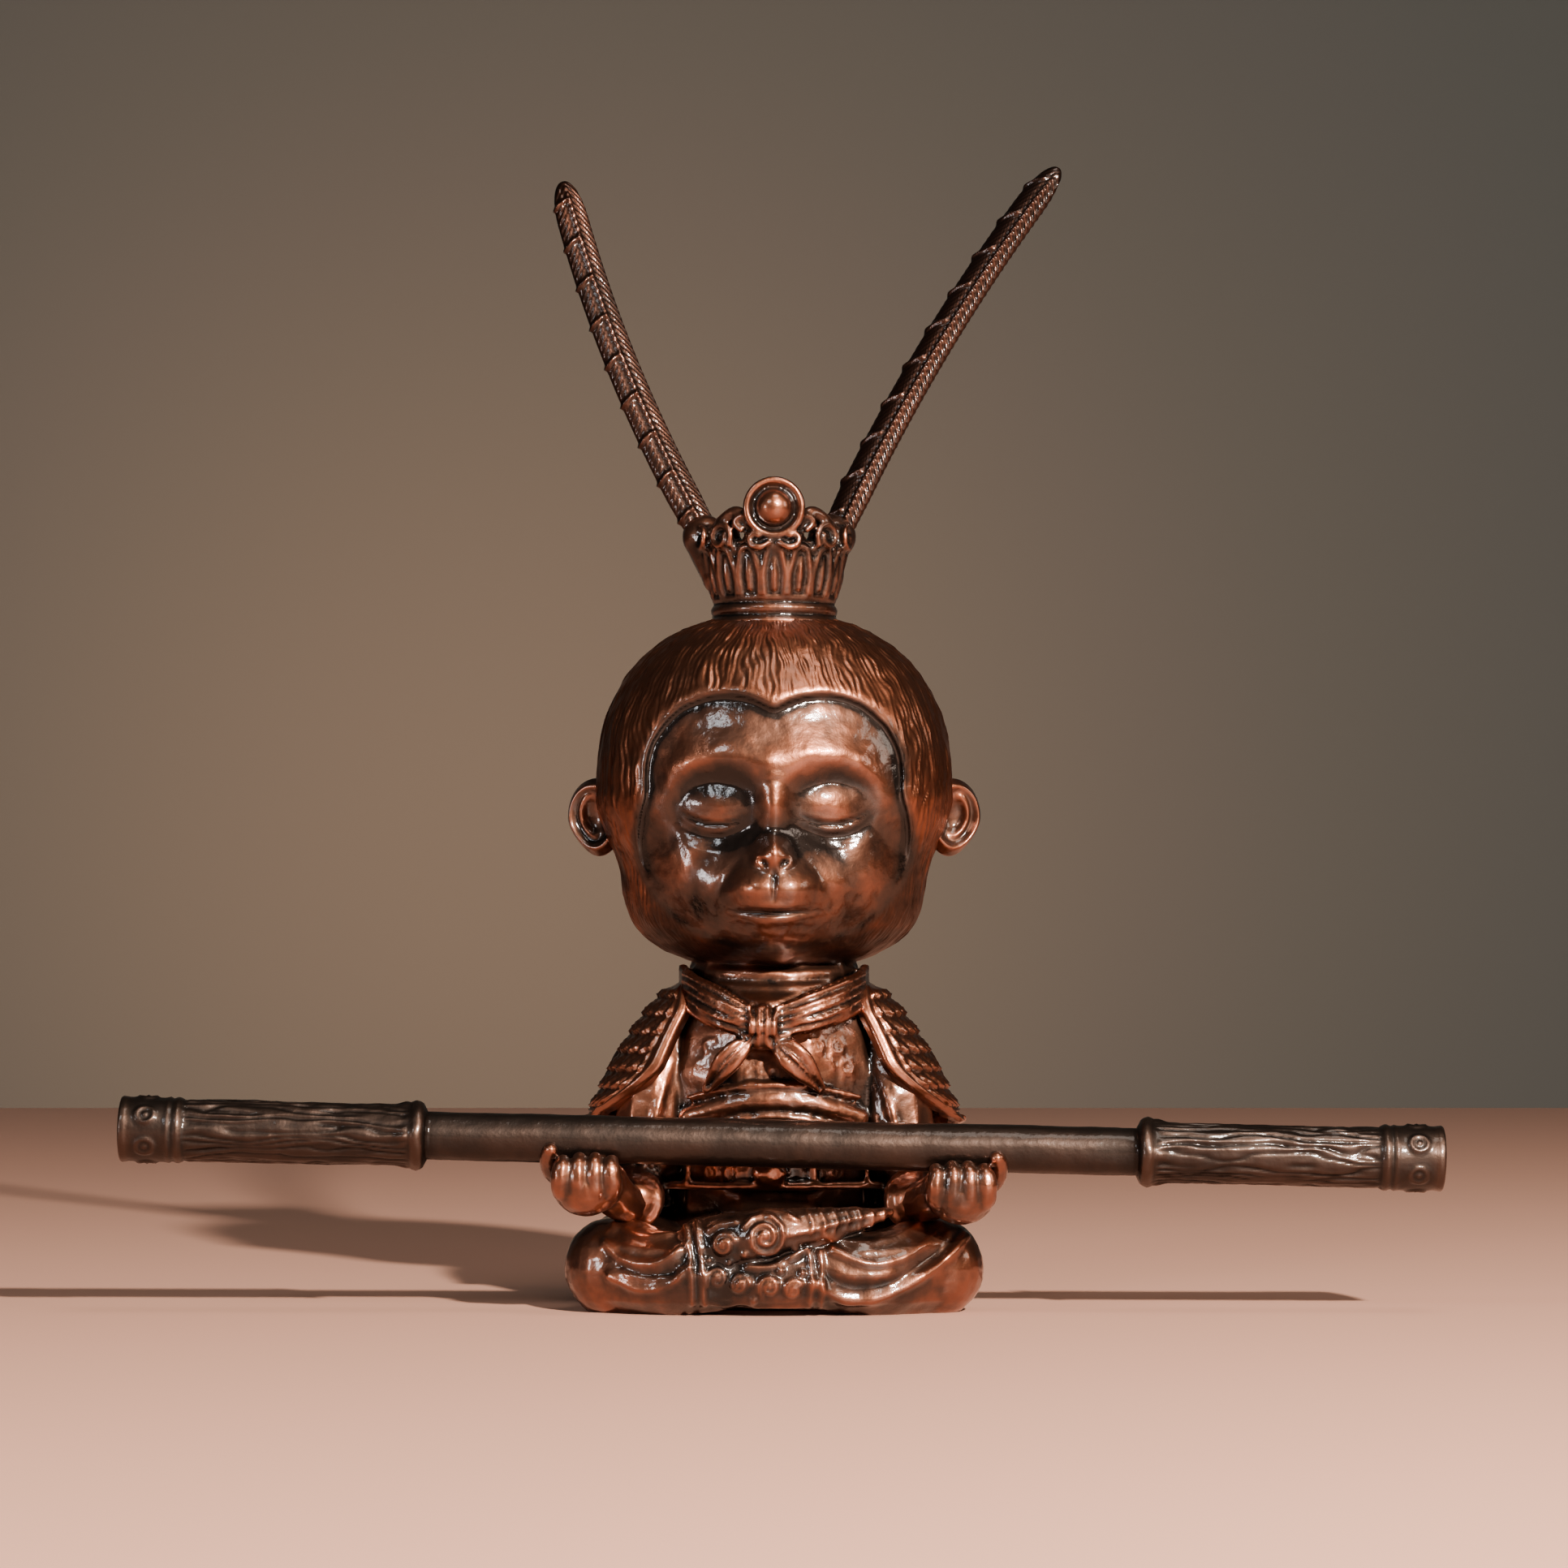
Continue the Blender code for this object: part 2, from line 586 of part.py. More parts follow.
def figure(parts, cutters, material):
    clay = collection("clay")
    torso(clay)
    scarf(clay)
    jacket(clay)
    cape(clay)
    for side in SIDES:
        arm(clay, side)
        hand(clay, side)
        leg(clay, side)
    feet(clay)
    head(clay)
    ears(clay)
    crown(clay)
    plume_sockets(clay)
    obj = joined("monkey_figure", clay, parts, material)

    cast = obj.modifiers.new("Cast as one", "REMESH")
    cast.mode = "VOXEL"
    cast.voxel_size = VOXEL * UNIT
    soften = obj.modifiers.new("Soften", "SMOOTH")
    soften.factor = 0.5
    soften.iterations = 2
    graph = bpy.context.evaluated_depsgraph_get()
    fine = len(obj.evaluated_get(graph).data.polygons) * 2
    thin = obj.modifiers.new("Facets", "DECIMATE")
    thin.ratio = FIGURE_FACES / fine

    centre = Vector(STAFF_CENTRE) * UNIT
    reach = staff_axis() * (STAFF_LENGTH / 2 - CAP_LENGTH - GRIP_LENGTH)
    seat_radius = SHAFT_DIAMETER / 2 + CLEARANCE
    cut(obj, bar_between("staff_seat", centre - reach, centre + reach, seat_radius, cutters))
    for name, length in PLUME_LENGTHS.items():
        root, axis = plume_root(name), plume_axis(name)
        low, high = root - axis * (PEG_LENGTH + CLEARANCE), root + axis * PEG_LENGTH
        cut(obj, bar_between(name + "_socket", low, high, PEG_DIAMETER / 2 + CLEARANCE, cutters))
        clear = root + axis * length / 3
        cut(obj, bar_between(name + "_seat", root, clear, PLUME_WIDTH / 2 + CLEARANCE, cutters))
    floor = bmesh.new()
    bmesh.ops.create_cube(floor, size=FIGURE_HEIGHT, matrix=Matrix.Translation((0, 0, -FIGURE_HEIGHT / 2)))
    cut(obj, cutter(object_of("floor", floor, cutters)))
    return obj


# Plumes


def oval(across, deep):
    """Points round an oval, as pairs."""
    angles = [step * math.tau / PLUME_SIDES for step in range(PLUME_SIDES)]
    return [(across * math.cos(a), deep * math.sin(a)) for a in angles]


def blade_section(share):
    """Half width and half thickness of the blade at a share of its length."""
    rounding = max(0.0, (share - 0.88) / 0.12)
    tip = 0.3 + 0.7 * math.sqrt(max(0.0, 1.0 - rounding**2))
    root = 0.9 + 0.1 * min(1.0, share / 0.1)
    taper = 1.0 - 0.08 * share
    return PLUME_WIDTH / 2 * tip * root * taper, PLUME_THICKNESS / 2 * tip


def plume(name, parts, material):
    """A long feather blade, bowed and round at the tip, with a peg to plug into the crown."""
    peg = oval(PEG_DIAMETER / 2, PEG_DIAMETER / 2)
    rings = [[(x, y, height) for x, y in peg] for height in (-PEG_LENGTH, CLEARANCE)]
    for step in range(PLUME_RINGS + 1):
        share = 1.0 - (1.0 - step / PLUME_RINGS) ** 1.25
        half, thick = blade_section(share)
        bow = -4 * PLUME_BOW * share * (1 - share)
        height = CLEARANCE + share * PLUME_LENGTHS[name]
        rings.append([(bow + x, y, height) for x, y in oval(half, thick)])
    obj = object_of("plume_" + name, lofted(rings), parts, material)
    turn = Matrix.Rotation(math.radians(PLUME_TURNS[name]), 4, "Z")
    obj.matrix_world = Matrix.Translation(plume_root(name)) @ plume_stance(name).to_4x4() @ turn
    return obj


# Staff


def staff_profile():
    """Half of the staff from its middle out, as (distance, radius) pairs."""
    half = STAFF_LENGTH / 2
    cap = half - CAP_LENGTH
    neck = cap - NECK_WIDTH
    collar_out = neck - GRIP_LENGTH
    collar_in = collar_out - COLLAR_WIDTH
    shaft, grip = SHAFT_DIAMETER / 2, GRIP_DIAMETER / 2
    collar, end = COLLAR_DIAMETER / 2, CAP_DIAMETER / 2
    bevel = NECK_WIDTH / 4
    return [
        (0.0, shaft),
        (collar_in - bevel, shaft),
        (collar_in, collar - bevel),
        (collar_in + bevel, collar),
        (collar_out - bevel, collar),
        (collar_out, collar - bevel),
        (collar_out + bevel, grip),
        (collar_out + GRIP_LENGTH / 2, grip * 1.02),
        (neck - bevel, grip),
        (neck, (grip + end) / 2),
        (cap - bevel, (grip + end) / 2),
        (cap, end),
        (half - bevel, end),
        (half, end - bevel),
    ]


def staff(parts, material):
    profile = staff_profile()
    half = [(radius, height) for height, radius in reversed(profile[1:])]
    outline = [(0.0, STAFF_LENGTH / 2)] + half + [(radius, height) for height, radius in profile[:1]]
    outline += [(radius, -height) for radius, height in reversed(half)] + [(0.0, -STAFF_LENGTH / 2)]
    obj = turned("staff", outline, STAFF_SIDES, parts, material)
    level = Matrix.Rotation(math.radians(90) - math.atan(STAFF_SLOPE), 4, "Y")
    obj.matrix_world = Matrix.Translation(Vector(STAFF_CENTRE) * UNIT) @ level
    return obj


def main():
    clear_scene()
    parts = collection("monkey statue")
    cutters = collection("cutters")
    bronze = metal("cast bronze, brown patina", (0.30, 0.12, 0.06), 0.32)
    dark_bronze = metal("cast bronze, dark patina", (0.12, 0.075, 0.055), 0.45)
    figure(parts, cutters, bronze)
    for name in PLUME_LEANS:
        plume(name, parts, bronze)
    staff(parts, dark_bronze)


main()
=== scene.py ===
"""Seated monkey figurine of cast bronze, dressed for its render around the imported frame.

Forms are shaped in figure units, which are millimetres at the real size, and become metres when a
piece is finished. The figure faces -Y, with +X towards its left hand.
"""
import json
import math

import bmesh
import bpy
import numpy as np
from mathutils import Euler, Matrix, Vector

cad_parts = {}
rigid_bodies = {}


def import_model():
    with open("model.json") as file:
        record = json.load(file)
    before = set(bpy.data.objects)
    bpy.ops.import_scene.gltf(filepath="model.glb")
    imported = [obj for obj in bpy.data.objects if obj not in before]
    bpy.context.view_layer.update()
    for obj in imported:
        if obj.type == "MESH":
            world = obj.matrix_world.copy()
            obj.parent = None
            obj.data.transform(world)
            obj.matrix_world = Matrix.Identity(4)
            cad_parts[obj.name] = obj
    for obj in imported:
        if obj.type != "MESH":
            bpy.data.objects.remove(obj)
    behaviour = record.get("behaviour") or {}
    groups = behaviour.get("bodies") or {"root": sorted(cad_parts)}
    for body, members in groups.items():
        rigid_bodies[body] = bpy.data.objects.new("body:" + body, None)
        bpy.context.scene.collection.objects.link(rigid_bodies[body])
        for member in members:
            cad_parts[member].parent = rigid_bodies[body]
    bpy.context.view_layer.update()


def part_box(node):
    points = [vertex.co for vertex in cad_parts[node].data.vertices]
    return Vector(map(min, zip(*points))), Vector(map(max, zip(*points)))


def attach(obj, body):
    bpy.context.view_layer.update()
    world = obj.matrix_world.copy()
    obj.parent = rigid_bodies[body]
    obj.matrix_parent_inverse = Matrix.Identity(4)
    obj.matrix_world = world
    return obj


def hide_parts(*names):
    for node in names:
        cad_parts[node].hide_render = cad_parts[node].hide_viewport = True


bl_info = {
    "name": "Bronze monkey figurine",
    "version": (1, 0, 0),
    "blender": (4, 5, 0),
    "location": "View3D > Sidebar > Bronze monkey",
    "description": "Builds a cast bronze monkey figurine with crown, plumes and staff",
    "category": "Add Mesh",
}

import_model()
FIGURE_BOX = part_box("monkey_figure")
STAFF_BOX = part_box("staff")

# One figure unit in metres: the solid stands 75.3 units tall
FIGURE_TALL = 75.3
UNIT = FIGURE_BOX[1][2] / FIGURE_TALL

# The staff, in figure units
STAFF_CENTRE = tuple((low + high) / 2 / UNIT for low, high in zip(*STAFF_BOX))
STAFF_SLOPE = -0.0228
SHAFT_RADIUS = 2.15
HAND_X = 16.4

# The plumes, in figure units, named as seen from the front
PLUME_ROOTS = {"left": (-6.5, 0.8, 70.6), "right": (5.6, 0.8, 70.6)}
PLUME_LEANS = {"left": (-0.395, 0.22), "right": (0.6, 0.12)}
PLUME_TURNS = {"left": 24.0, "right": -30.0}
PLUME_LENGTHS = {"left": 37.0, "right": 40.5}
PLUME_BOW = 1.3

SIDES = (-1, 1)
SEED = 7


# Sizes and colours that a user would change


def linear(code):
    """An sRGB hex colour as linear red, green, blue and alpha."""
    parts = [int(code[i:i + 2], 16) / 255 for i in (1, 3, 5)]
    return (*[c / 12.92 if c <= 0.04045 else ((c + 0.055) / 1.055) ** 2.4 for c in parts], 1.0)


def tint(name, description, code):
    """A colour that the user can pick, which starts at an sRGB hex value."""
    return bpy.props.FloatVectorProperty(
        name=name, description=description, subtype="COLOR", size=4, min=0.0, max=1.0, default=linear(code)
    )


def length(name, description, metres, least):
    """A size that the user can change, in metres."""
    return bpy.props.FloatProperty(
        name=name, description=description, unit="LENGTH", precision=5, default=metres, min=least
    )


class FigurineSizes(bpy.types.PropertyGroup):
    cast_voxel: length("Casting fineness", "Grid that the cast forms are fused on", 0.00024, 0.00015)
    fine_voxel: length("Fine fineness", "Grid that the crown and the hands are fused on", 0.00017, 0.0001)
    hair_pitch: bpy.props.IntProperty(
        name="Locks of hair", description="Strands counted round the head", default=156, min=40, max=180
    )
    scale_pitch: length("Cape scales", "Height of one row of scales on the cape", 0.002, 0.001)


class FigurineFinish(bpy.types.PropertyGroup):
    copper: tint("Polished high places", "Bronze where the patina is rubbed through", "#8C563E")
    brown: tint("Brown patina", "Patina on open faces", "#4D3327")
    recess: tint("Dark patina", "Patina left in the recesses", "#1A1411")
    plume_high: tint("Plumes, high places", "Bronze rubbed on the plumes", "#432A20")
    plume_open: tint("Plumes, patina", "Patina on the plumes' open faces", "#261A15")
    staff_high: tint("Staff, high places", "Bronze rubbed on the staff", "#46372F")
    staff_open: tint("Staff, patina", "Patina on the staff's open faces", "#2B2420")
    floor: tint("Floor", "Matt floor of the stage", "#B98B76")
    backdrop: tint("Backdrop", "Matt backdrop of the stage", "#656F6E")


def own_size(key):
    """One of the user's sizes, in figure units."""
    return getattr(bpy.context.scene.figurine_sizes, key) / UNIT


# Numbers

NOISE_WAVES = 14
LINE_STEPS = 6
LINE_REACH, FAR_OFF = 2.0, 9.0
SPIRAL_STEPS, SPIRAL_EYE = 12, 0.12


def smoothstep(low, high, value):
    share = np.clip((value - low) / (high - low), 0.0, 1.0)
    return share * share * (3.0 - 2.0 * share)


def mound(distance):
    """A soft round rise: 1 at the middle, 0 from a distance of 1 on."""
    return np.clip(1.0 - distance**2, 0.0, 1.0) ** 2


def spot(x, z, centre, reach):
    """A mound over x, z that is as wide and as tall as its reach says."""
    return mound(np.hypot((x - centre[0]) / reach[0], (z - centre[1]) / reach[1]))


def ridge(distance, width):
    return np.exp(-((distance / width) ** 2))


def wave_noise(points, size, rng):
    """Smooth noise of about -1 to 1 over points: a sum of waves in random directions, as long as size."""
    total = np.zeros(len(points))
    for _ in range(NOISE_WAVES):
        way = rng.normal(size=points.shape[1])
        way *= math.tau / size / np.linalg.norm(way) * rng.uniform(0.6, 1.4)
        total += np.sin(points @ way + rng.uniform(0, math.tau))
    return total / math.sqrt(NOISE_WAVES)


def smooth_line(path):
    """Points along a smooth line through the path."""
    path = np.array(path, float)
    ends = np.vstack([2 * path[0] - path[1], path, 2 * path[-1] - path[-2]])
    made = []
    for a, b, c, d in zip(ends, ends[1:], ends[2:], ends[3:]):
        for t in np.arange(LINE_STEPS) / LINE_STEPS:
            bend = (2 * a - 5 * b + 4 * c - d) * t**2 + (3 * b - a - 3 * c + d) * t**3
            made.append(b + 0.5 * ((c - a) * t + bend))
    return np.array(made + [path[-1]])


def distance_to(points, line):
    """How far each point is from a line, seen from the front: both as x, z. Out of its reach is far off."""
    best = np.full(len(points), FAR_OFF)
    low, high = line.min(0) - LINE_REACH, line.max(0) + LINE_REACH
    near = np.flatnonzero(((points > low) & (points < high)).all(axis=1))
    inner = points[near]
    found = np.full(len(near), FAR_OFF)
    for a, b in zip(line, line[1:]):
        run = b - a
        share = np.clip((inner - a) @ run / (run @ run + 1e-12), 0.0, 1.0)
        found = np.minimum(found, np.linalg.norm(inner - a - share[:, None] * run, axis=1))
    best[near] = found
    return best


def stroke(points, path, width):
    """1 along a smooth line through the path, and softly 0 on both sides of it."""
    return ridge(distance_to(points, smooth_line(path)), width)


def spiral(centre, reach, turns, start, flip):
    """A line in x, z that winds out from the centre."""
    made = []
    for step in range(int(turns * SPIRAL_STEPS) + 1):
        share = step / (turns * SPIRAL_STEPS)
        turn = flip * (start + step * math.tau / SPIRAL_STEPS)
        out = SPIRAL_EYE + (reach - SPIRAL_EYE) * share
        made.append((centre[0] + out * math.cos(turn), centre[1] + out * math.sin(turn)))
    return np.array(made)


# Meshes

BALL_SIDES, BALL_RINGS = 24, 14
HOOP_KNOTS = 16


def clay_box():
    """A collection that forms are gathered in before they are fused."""
    made = bpy.data.collections.new("clay")
    bpy.context.scene.collection.children.link(made)
    return made


def form(group, bm, name="form"):
    """An object made of the bmesh, in the group."""
    mesh = bpy.data.meshes.new(name)
    bm.to_mesh(mesh)
    bm.free()
    obj = bpy.data.objects.new(name, mesh)
    group.objects.link(obj)
    return obj


def ball(clay, centre, radii, turn=(0, 0, 0)):
    """A ball with its own radius on each axis, turned by degrees."""
    matrix = (
        Matrix.Translation(centre)
        @ Euler([math.radians(a) for a in turn]).to_matrix().to_4x4()
        @ Matrix.Diagonal((*radii, 1.0))
    )
    bm = bmesh.new()
    bmesh.ops.create_uvsphere(bm, u_segments=BALL_SIDES, v_segments=BALL_RINGS, radius=1.0, matrix=matrix)
    form(clay, bm)


def limb(clay, points, radii, closed=False, squash=(1, 1, 1), smooth=6):
    """A smooth round bar through the points, as thick as the radii say, with rounded ends."""
    if np.isscalar(radii):
        radii = [radii] * len(points)
    data = bpy.data.curves.new("limb", "CURVE")
    data.dimensions = "3D"
    data.resolution_u = smooth
    data.bevel_depth = 1.0
    data.bevel_resolution = 3
    data.use_fill_caps = True
    spline = data.splines.new("BEZIER")
    spline.bezier_points.add(len(points) - 1)
    spline.use_cyclic_u = closed
    for knot, point, radius in zip(spline.bezier_points, points, radii):
        knot.co = point
        knot.radius = radius
        knot.handle_left_type = knot.handle_right_type = "AUTO"
    curve = bpy.data.objects.new("limb", data)
    curve.matrix_world = Matrix.Diagonal((*squash, 1.0))
    clay.objects.link(curve)
    if not closed:
        for end in (0, -1):
            ball(clay, Vector(points[end]) * Vector(squash), [radii[end] * s for s in squash])


def hoop(clay, centre, across, deep, radius, front_drop=0.0, turn=(0, 0, 0)):
    """A closed round bar on an ellipse, whose front can hang lower than its back."""
    spin = Euler([math.radians(a) for a in turn]).to_matrix()
    points = []
    for step in range(HOOP_KNOTS):
        angle = step * math.tau / HOOP_KNOTS
        drop = front_drop * (1 + math.cos(angle)) / 2
        flat = Vector((across * math.sin(angle), -deep * math.cos(angle), -drop))
        points.append(Vector(centre) + spin @ flat)
    limb(clay, points, radius, closed=True, smooth=4)


def both(points, side):
    return [(side * x, y, z) for x, y, z in points]


def turned(profile, sides):
    """A bmesh turned on the Z axis, from (radius, height) pairs that run from axis to axis."""
    bm = bmesh.new()
    line = [bm.verts.new((radius, 0.0, height)) for radius, height in profile]
    edges = [bm.edges.new(pair) for pair in zip(line, line[1:])]
    bmesh.ops.spin(
        bm, geom=line + edges, cent=(0, 0, 0), axis=(0, 0, 1), angle=math.tau, steps=sides, use_merge=True
    )
    bmesh.ops.remove_doubles(bm, verts=bm.verts, dist=1e-4)
    bmesh.ops.recalc_face_normals(bm, faces=bm.faces)
    return bm


def fused(clay, voxel, soften):
    """All the forms in the collection as one closed skin, in figure units, and the collection removed."""
    bpy.ops.object.select_all(action="DESELECT")
    for part in clay.objects:
        part.select_set(True)
    bpy.context.view_layer.objects.active = clay.objects[0]
    bpy.ops.object.convert(target="MESH")
    bpy.ops.object.join()
    whole = bpy.context.view_layer.objects.active
    whole.data.transform(whole.matrix_world)
    whole.matrix_world = Matrix.Identity(4)
    cast = whole.modifiers.new("Cast as one", "REMESH")
    cast.mode = "VOXEL"
    cast.voxel_size = voxel
    soft = whole.modifiers.new("Soften", "SMOOTH")
    soft.factor = 0.5
    soft.iterations = soften
    graph = bpy.context.evaluated_depsgraph_get()
    skin = bpy.data.meshes.new_from_object(whole.evaluated_get(graph))
    bpy.data.objects.remove(whole)
    bpy.data.collections.remove(clay)
    return skin


def rows_of(items, key, width, kind):
    """One value of all vertices or edges, a row of numbers for each."""
    flat = np.empty(len(items) * width, dtype=kind)
    items.foreach_get(key, flat)
    return flat.reshape(-1, width)


def points_of(mesh):
    return rows_of(mesh.vertices, "co", 3, np.float32).astype(float)


def normals_of(mesh):
    return rows_of(mesh.vertex_normals, "vector", 3, np.float32).astype(float)


def edges_of(mesh):
    return rows_of(mesh.edges, "vertices", 2, np.int32)


def place_points(mesh, points):
    mesh.vertices.foreach_set("co", np.ascontiguousarray(points, dtype=np.float32).ravel())
    mesh.update()


# How much of its own place a point keeps in each round of relaxing
KEPT = 0.4


def relaxed(points, edges, rounds):
    """The points after so many rounds of drawing each to the mean of its neighbours."""
    first, second = edges[:, 0], edges[:, 1]
    count = np.bincount(first, minlength=len(points)) + np.bincount(second, minlength=len(points))
    for _ in range(rounds):
        mean = np.stack(
            [
                np.bincount(first, points[second, axis], len(points))
                + np.bincount(second, points[first, axis], len(points))
                for axis in range(3)
            ],
            axis=1,
        )
        points = KEPT * points + (1.0 - KEPT) * mean / count[:, None]
    return points


def mark(mesh, key, values):
    """Stores a number for each point, which the materials read."""
    mesh.attributes.new(key, "FLOAT", "POINT").data.foreach_set("value", values.astype(np.float32))


# Recesses that catch patina: their depth in figure units, the rounds that find them and their weight
FINE_HOLLOW, FINE_ROUNDS, FINE_WEIGHT = 0.10, 8, 0.32
BROAD_HOLLOW, BROAD_ROUNDS, BROAD_WEIGHT = 0.55, 60, 0.42
OPEN_FACE, HIGH_PLACE = 0.5, 0.6


def mark_patina_and_painted_light(mesh, fine_depth, dark):
    """Marks how far each point lies in a recess (1) or on a high place (0), for the patina. Dark is added,
    which on the head and legs is partly painted shade and painted light.
    """
    points, edges, normals = points_of(mesh), edges_of(mesh), normals_of(mesh)
    near = relaxed(points, edges, FINE_ROUNDS)
    far = relaxed(near, edges, BROAD_ROUNDS)
    fine = np.einsum("ij,ij->i", near - points, normals) / fine_depth
    fine = np.where(fine < 0, HIGH_PLACE * fine, fine)
    broad = np.einsum("ij,ij->i", far - near, normals) / BROAD_HOLLOW
    mark(mesh, "hollow_and_painted_light", np.clip(OPEN_FACE + FINE_WEIGHT * fine + BROAD_WEIGHT * broad + dark, 0.0, 1.0))


def finished(name, mesh, nodes=(), material=None, fine_depth=FINE_HOLLOW, dark=0.0):
    """A piece from a mesh in figure units: smooth, marked for patina and for any painted shade in dark, in
    metres, riding on the body.
    """
    if not mesh.polygons:
        raise RuntimeError(name + " has no faces")
    mark_patina_and_painted_light(mesh, fine_depth, dark)
    mesh.transform(Matrix.Scale(UNIT, 4))
    mesh.shade_smooth()
    mesh.name = name
    obj = bpy.data.objects.new(name, mesh)
    bpy.context.scene.collection.objects.link(obj)
    mesh.materials.clear()
    mesh.materials.append(material or bronze())
    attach(obj, "root")
    if nodes:
        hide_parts(*nodes)


def mesh_of(bm):
    mesh = bpy.data.meshes.new("piece")
    bm.to_mesh(mesh)
    bm.free()
    return mesh


# Head

HEAD_LOW, HEAD_MIDDLE, HEAD_HIGH = 30.5, 46.6, 63.2
HEAD_HALF_WIDTH = 16.3
HEAD_FRONT, HEAD_BACK = 13.4, 14.35
DOME_POWER, JAW_POWER = 2.4, 2.6
JAW_TAPER = 0.095
HEAD_COLUMNS, HEAD_ROWS = 560, 176
EYE = (5.3, 45.2)
MUZZLE = (0.0, 37.5)
HAIR_STEP = 0.7
HAIR_DEPTH = 0.085
EAR_SIDES, EAR_RINGS = 96, 72
EAR_HALF_WIDTH, EAR_HALF_HEIGHT, EAR_DEPTH = 3.0, 3.6, 0.75
EAR_PLACE = (16.2, 0.5, 44.6)

# The bare face in x, z: the arches over the eyes with their reach, and the cheeks' middle and half sizes
ARCH, ARCH_REACH = (4.4, 48.1), 7.1
CHEEKS_AT, CHEEKS_WIDE, CHEEKS_TALL = 42.6, 12.2, 9.8
HAIRLINE_BLEND = 3.0


def hairline(x, z):
    """Above 0 inside the bare face: two broad arches with a shallow dip between them, and the cheeks."""
    right, left = (ARCH_REACH - np.hypot(x - side * ARCH[0], z - ARCH[1]) for side in SIDES)
    cheeks = CHEEKS_WIDE * (1.0 - np.hypot(x / CHEEKS_WIDE, (z - CHEEKS_AT) / CHEEKS_TALL))
    arches = np.logaddexp(HAIRLINE_BLEND * left, HAIRLINE_BLEND * right)
    return np.logaddexp(arches, HAIRLINE_BLEND * cheeks) / HAIRLINE_BLEND


def lids(ax, z):
    """Closed upper lids over the round eyes, with a crease above and lashes along the lower edge."""
    eye = np.hypot((ax - EYE[0]) / 3.0, (z - EYE[1]) / 2.3)
    across = mound((ax - EYE[0]) / 3.7)
    shut = z - (43.75 + 0.1 * (ax - EYE[0]) ** 2 + 0.05 * (ax - EYE[0]))
    rise = 1.55 * mound(0.76 * eye)
    seam = 0.22 * ridge(shut - 0.3, 0.28) - 0.5 * ridge(shut, 0.17) + 0.26 * ridge(shut + 0.55, 0.3)
    rise += seam * across
    fold = z - (47.4 - 0.13 * (ax - EYE[0] + 0.2) ** 2)
    rise -= 0.16 * ridge(fold, 0.2) * mound((ax - EYE[0]) / 3.2)
    for step in (1.35, 2.15):
        bag = z - (43.9 - step + 0.1 * (ax - EYE[0] - 0.3) ** 2)
        rise -= 0.13 * ridge(bag, 0.24) * mound((ax - EYE[0] - 0.3) / 3.3)
    return rise


def snout(x, ax, z):
    """A soft short muzzle with a flat nose, a quiet mouth and a small chin."""
    rise = 3.3 * spot(x, z, MUZZLE, (8.0, 6.5))
    rise += 0.45 * spot(ax, z, (2.3, 38.0), (2.6, 2.3))
    rise += 1.0 * spot(x, z, (0.0, 41.0), (2.5, 2.2))
    rise += 0.4 * spot(ax, z, (1.35, 40.5), (1.0, 0.9))
    slant_x, slant_z = (ax - 1.0) * 0.82 + (z - 40.3) * 0.57, (z - 40.3) * 0.82 - (ax - 1.0) * 0.57
    rise -= 0.75 * mound(np.hypot(slant_x / 0.8, slant_z / 0.4))
    rise -= 0.3 * ridge(x, 0.2) * mound((z - 38.3) / 1.9)
    mouth = z - (35.75 + 0.018 * x**2)
    across = mound(x / 5.6)
    rise += (0.22 * ridge(mouth - 0.55, 0.35) + 0.32 * ridge(mouth + 0.7, 0.42)) * across
    rise -= 0.62 * ridge(mouth, 0.17) * across
    rise -= 0.22 * spot(ax, z, (5.1, 36.3), (0.9, 0.9))
    rise += 1.3 * spot(x, z, (0.0, 32.9), (4.8, 2.9))
    furrow = np.abs((ax - 3.0) * 0.62 - (40.6 - z) * 0.42)
    rise -= 0.14 * ridge(furrow, 0.35) * smoothstep(36.0, 37.5, z) * (1 - smoothstep(39.8, 41.0, z))
    return rise


def face_relief(x, z):
    """How far the face stands out at x, z."""
    ax = np.abs(x)
    edge = hairline(x, z)
    fade = smoothstep(37.0, 43.5, z)
    socket = np.hypot((ax - EYE[0]) / 5.0, (z - EYE[1] - 0.3) / 4.2)
    rise = -HAIR_STEP * smoothstep(-0.3, 0.25, edge) * fade
    rise += 0.14 * ridge(edge + 0.85, 0.6) * fade
    brow = z - (50.0 - 0.07 * (np.sqrt(x**2 + 2.0) - 4.6) ** 2)
    rise += 0.62 * ridge(brow, 1.7) * (1 - smoothstep(7.5, 11.0, ax)) * smoothstep(-0.2, 1.0, edge)
    rise -= 1.7 * mound(socket)
    rise += lids(ax, z)
    rise += 1.0 * ridge(x, 1.35) * smoothstep(39.5, 42.0, z) * (1 - smoothstep(44.5, 50.5, z))
    for step in (0.0, 0.9):
        rise -= 0.09 * ridge(z - (47.6 + step - 0.2 * x**2), 0.22) * mound(x / 1.9)
    rise += 1.05 * spot(ax, z, (8.0, 39.6), (4.4, 4.6))
    return rise + snout(x, ax, z)


